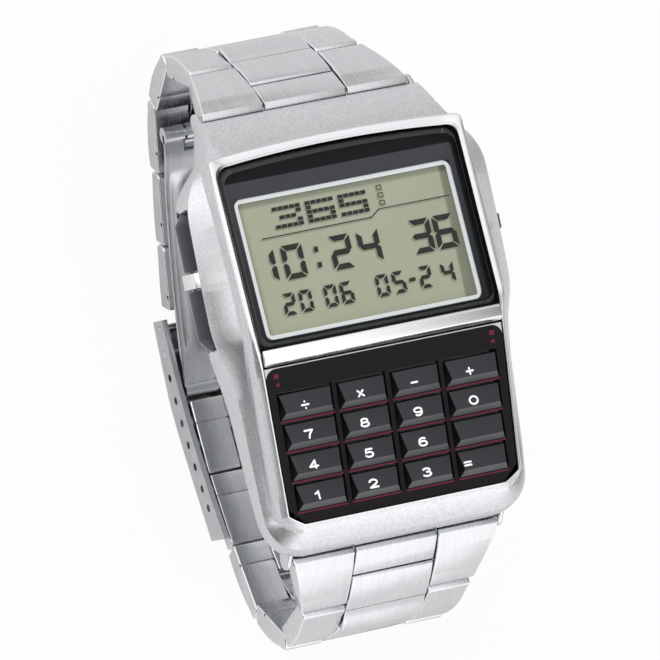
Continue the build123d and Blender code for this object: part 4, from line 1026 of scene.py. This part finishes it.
leaf_points = [(-3.25, 2.91), (-0.39, 3.95), (4.61, 5.1), (12.11, 7.35), (19.81, 10.4), (23.11, 12.45),
               (25.01, 12.8)]
leaf_half, leaf_thick, groove_at, groove_deep = 9.0, 0.7, 7.2, 0.34
ear_long, ear_radius, body_gap = 2.3, 0.95, 1.9
spots, way = smooth_path(leaf_points[::-1], 3.0)
spots, way = spots[::-1], -way[::-1]
run = run_along(spots)
middle = (run > body_gap) & (run < run[-1] - body_gap)
leaf_skins = [sheet(spots[middle], way[middle], -leaf_half, leaf_half, leaf_thick, groove_at, groove_deep)]
for pin, fork, ear in ((spots[0], 5.1, run < ear_long), (spots[-1], 6.7, run > run[-1] - ear_long)):
    for side in (1, -1):
        low, high = sorted((side * fork, side * leaf_half))
        leaf_skins.append(sheet(spots[ear], way[ear], low, high, leaf_thick - 0.02))
        leaf_skins.append(rod(low, high, pin, ear_radius))
piece("inner_leaf_sheet", "inner_leaf_body", leaf_skins, [clasp_brushed], ["leaf_inner"],
      angle=35)


# The back of the case: a brushed plate with a raised lip, held by four screws over a rubber seal. Spring
# bars hold the end links.
def turned_steel(name, colour, gloss):
    """Brushed round the middle of the back."""
    f = Finish(name)
    x, y, z = f.place()
    rings = f.noise(((x * x + y * y).root() * 4.0, 0.0, 0.0), 1.5, 3.0)
    shade = (rings * 0.6 + f.noise((x, y, z), 0.2) * 0.4).held()
    return f.surface(Base_Color=f.mix(shade, toned(colour, 0.85), toned(colour, 1.1)), Metallic=1.0,
                     Roughness=(gloss + (rings - 0.5) * 0.15).held(), Normal=f.bump(rings, 0.00001, 0.5))


back_steel = turned_steel("back_steel", (0.68, 0.69, 0.7), 0.3)
eased_copy("back_plate", "case_back", "watch_case", back_steel, 0.15)
eased_copy("back_screws", "case_back_screws", "watch_case", pin_steel, 0.06)
dress(pin_steel, "lug_spring_bars")


# Inside the case: display light and board, rubber membrane under the keys, white housing with the coin cell
# and its clip, and the brass disc that beeps. Each row gives a finish's name, colour, gloss, metal, mottle
# and the scale of the mottle, then the parts that have it.
inner_parts = [
    ("seal_rubber", (0.015, 0.015, 0.016), 0.6, 0.0, 0.06, 3.0, "case_gasket"),
    ("light_sheet", (0.62, 0.72, 0.66), 0.5, 0.0, 0.04, 1.0, "backlight_panel"),
    ("strip_rubber", (0.2, 0.2, 0.21), 0.6, 0.0, 0.25, 6.0, "lcd_connectors"),
    ("board_green", (0.02, 0.13, 0.06), 0.4, 0.0, 0.2, 1.5, "display_board", "keypad_board"),
    ("membrane_grey", (0.22, 0.22, 0.225), 0.6, 0.0, 0.08, 2.0, "keypad_membrane"),
    ("chip_resin", (0.012, 0.012, 0.013), 0.35, 0.0, 0.2, 4.0, "control_chip"),
    ("housing_white", (0.68, 0.68, 0.64), 0.45, 0.0, 0.03, 1.0, "module_housing"),
    ("cell_steel", (0.66, 0.67, 0.67), 0.28, 1.0, 0.06, 1.5, "battery", "battery_clip"),
    ("disc_brass", (0.66, 0.5, 0.24), 0.3, 1.0, 0.1, 1.5, "buzzer_disc"),
]
for name, colour, gloss, metal, mottle, scale, *parts in inner_parts:
    dress(plain(name, colour, gloss, metal, mottle, scale), *parts)


# The floor and light: a plain pale grey table that the camera sees as white, and three soft lamps, from the
# upper left, the right and the front. The metal mirrors the world: a white wall on the left, one at each
# end and a ceiling, with dark between them.
def table_top(name):
    f = Finish(name)
    x, y, z = f.place()
    seen, mirrored, through = (f.node("ShaderNodeLightPath", out="Is " + ray + " Ray")
                               for ray in ("Camera", "Glossy", "Transmission"))
    tone = f.mix(f.noise((x, y, z), 0.01), (0.62, 0.62, 0.625), (0.66, 0.66, 0.665))
    lit_part = f.node("ShaderNodeBsdfPrincipled", sockets={"Base Color": tone, "Roughness": 0.7})
    white = f.node("ShaderNodeEmission", sockets={"Color": (1.0, 1.0, 1.0), "Strength": 1.0})
    edge = (((x * x + y * y).root() - 130.0) / 90.0).held()
    share = (seen + through) * (edge * 0.07 + 0.93) + mirrored * 0.08
    return f.done(f.node("ShaderNodeMixShader", sockets={0: share, 1: lit_part, 2: white}))


reach = 0.26
floor_mesh = bpy.data.meshes.new("floor")
floor_mesh.from_pydata([(-reach, -reach, 0), (reach, -reach, 0), (reach, reach, 0), (-reach, reach, 0)], [],
                       [(0, 1, 2, 3)])
floor_mesh.materials.append(table_top("floor_white"))
floor = placed("floor", floor_mesh)


def soft_lamp(name, place, size, power):
    """Square soft lamp, placed in millimetres and aimed at the watch. Metal doesn't mirror it."""
    data = bpy.data.lights.new(name, "AREA")
    data.shape, data.size, data.energy = "SQUARE", size / 1000.0, power
    lamp = placed(name, data)
    way = Vector((0, 0, 30)) - Vector(place)
    lamp.location = Vector(place) / 1000.0
    lamp.rotation_euler = way.to_track_quat("-Z", "Y").to_euler()
    lamp.visible_glossy = False


soft_lamp("key_lamp", (-420, 320, 520), 420, 1.5)
soft_lamp("fill_lamp", (520, -120, 420), 400, 0.8)
soft_lamp("front_lamp", (-120, -560, 300), 380, 0.7)

studio = Finish("studio", "worlds")
to_right, to_head, lift = studio.parts(studio.node("ShaderNodeTexCoord", out="Generated"))
left_wall = ((0.1 - to_right) * 0.95).held() * (lift * 3.6 + 0.05).held() * (to_head * 4.5 + 0.75).held()
foot_wall = ((-0.25 - to_head) * 1.5).held() * (to_right * 1.5 + 1.1).held()
head_wall = ((to_head - 0.25) * 1.1).held() * ((lift + 0.3) * 1.6).held()
ceiling = ((lift - 0.6) * 2.8).held()
bright = (left_wall * 1.45 + foot_wall * 1.5 + head_wall * 1.4 + ceiling * 1.05 + 0.1).up_to(1.45)
walls = studio.point(bright, bright, bright * 1.01)
tone = studio.mix(studio.node("ShaderNodeLightPath", out="Is Camera Ray"), walls, (1.0, 1.0, 1.0))
backdrop = studio.node("ShaderNodeBackground", sockets={"Color": tone, "Strength": 1.0})
bpy.context.scene.world = studio.done(backdrop, "ShaderNodeOutputWorld")


# The camera: its place, turn and lens were fitted to the display window, the glass, the key rows and the
# lugs. It looks down on the dial from its left, about 0.95 m away.
lens = bpy.data.cameras.new("camera")
lens.lens, lens.sensor_width = 477.14, 36.0
lens.clip_start, lens.clip_end = 0.05, 10.0
camera = placed("camera", lens)
right, up = (0.913823, -0.200731, 0.353037), (0.184948, 0.979627, 0.078267)
backward, eye = (-0.361555, -0.006228, 0.93233), (-0.348154, -0.005961, 0.925798)
camera.matrix_world = Matrix([*zip(right, up, backward, eye), (0, 0, 0, 1)])
bpy.context.scene.camera = camera
bpy.context.scene.view_settings.view_transform = "Standard"
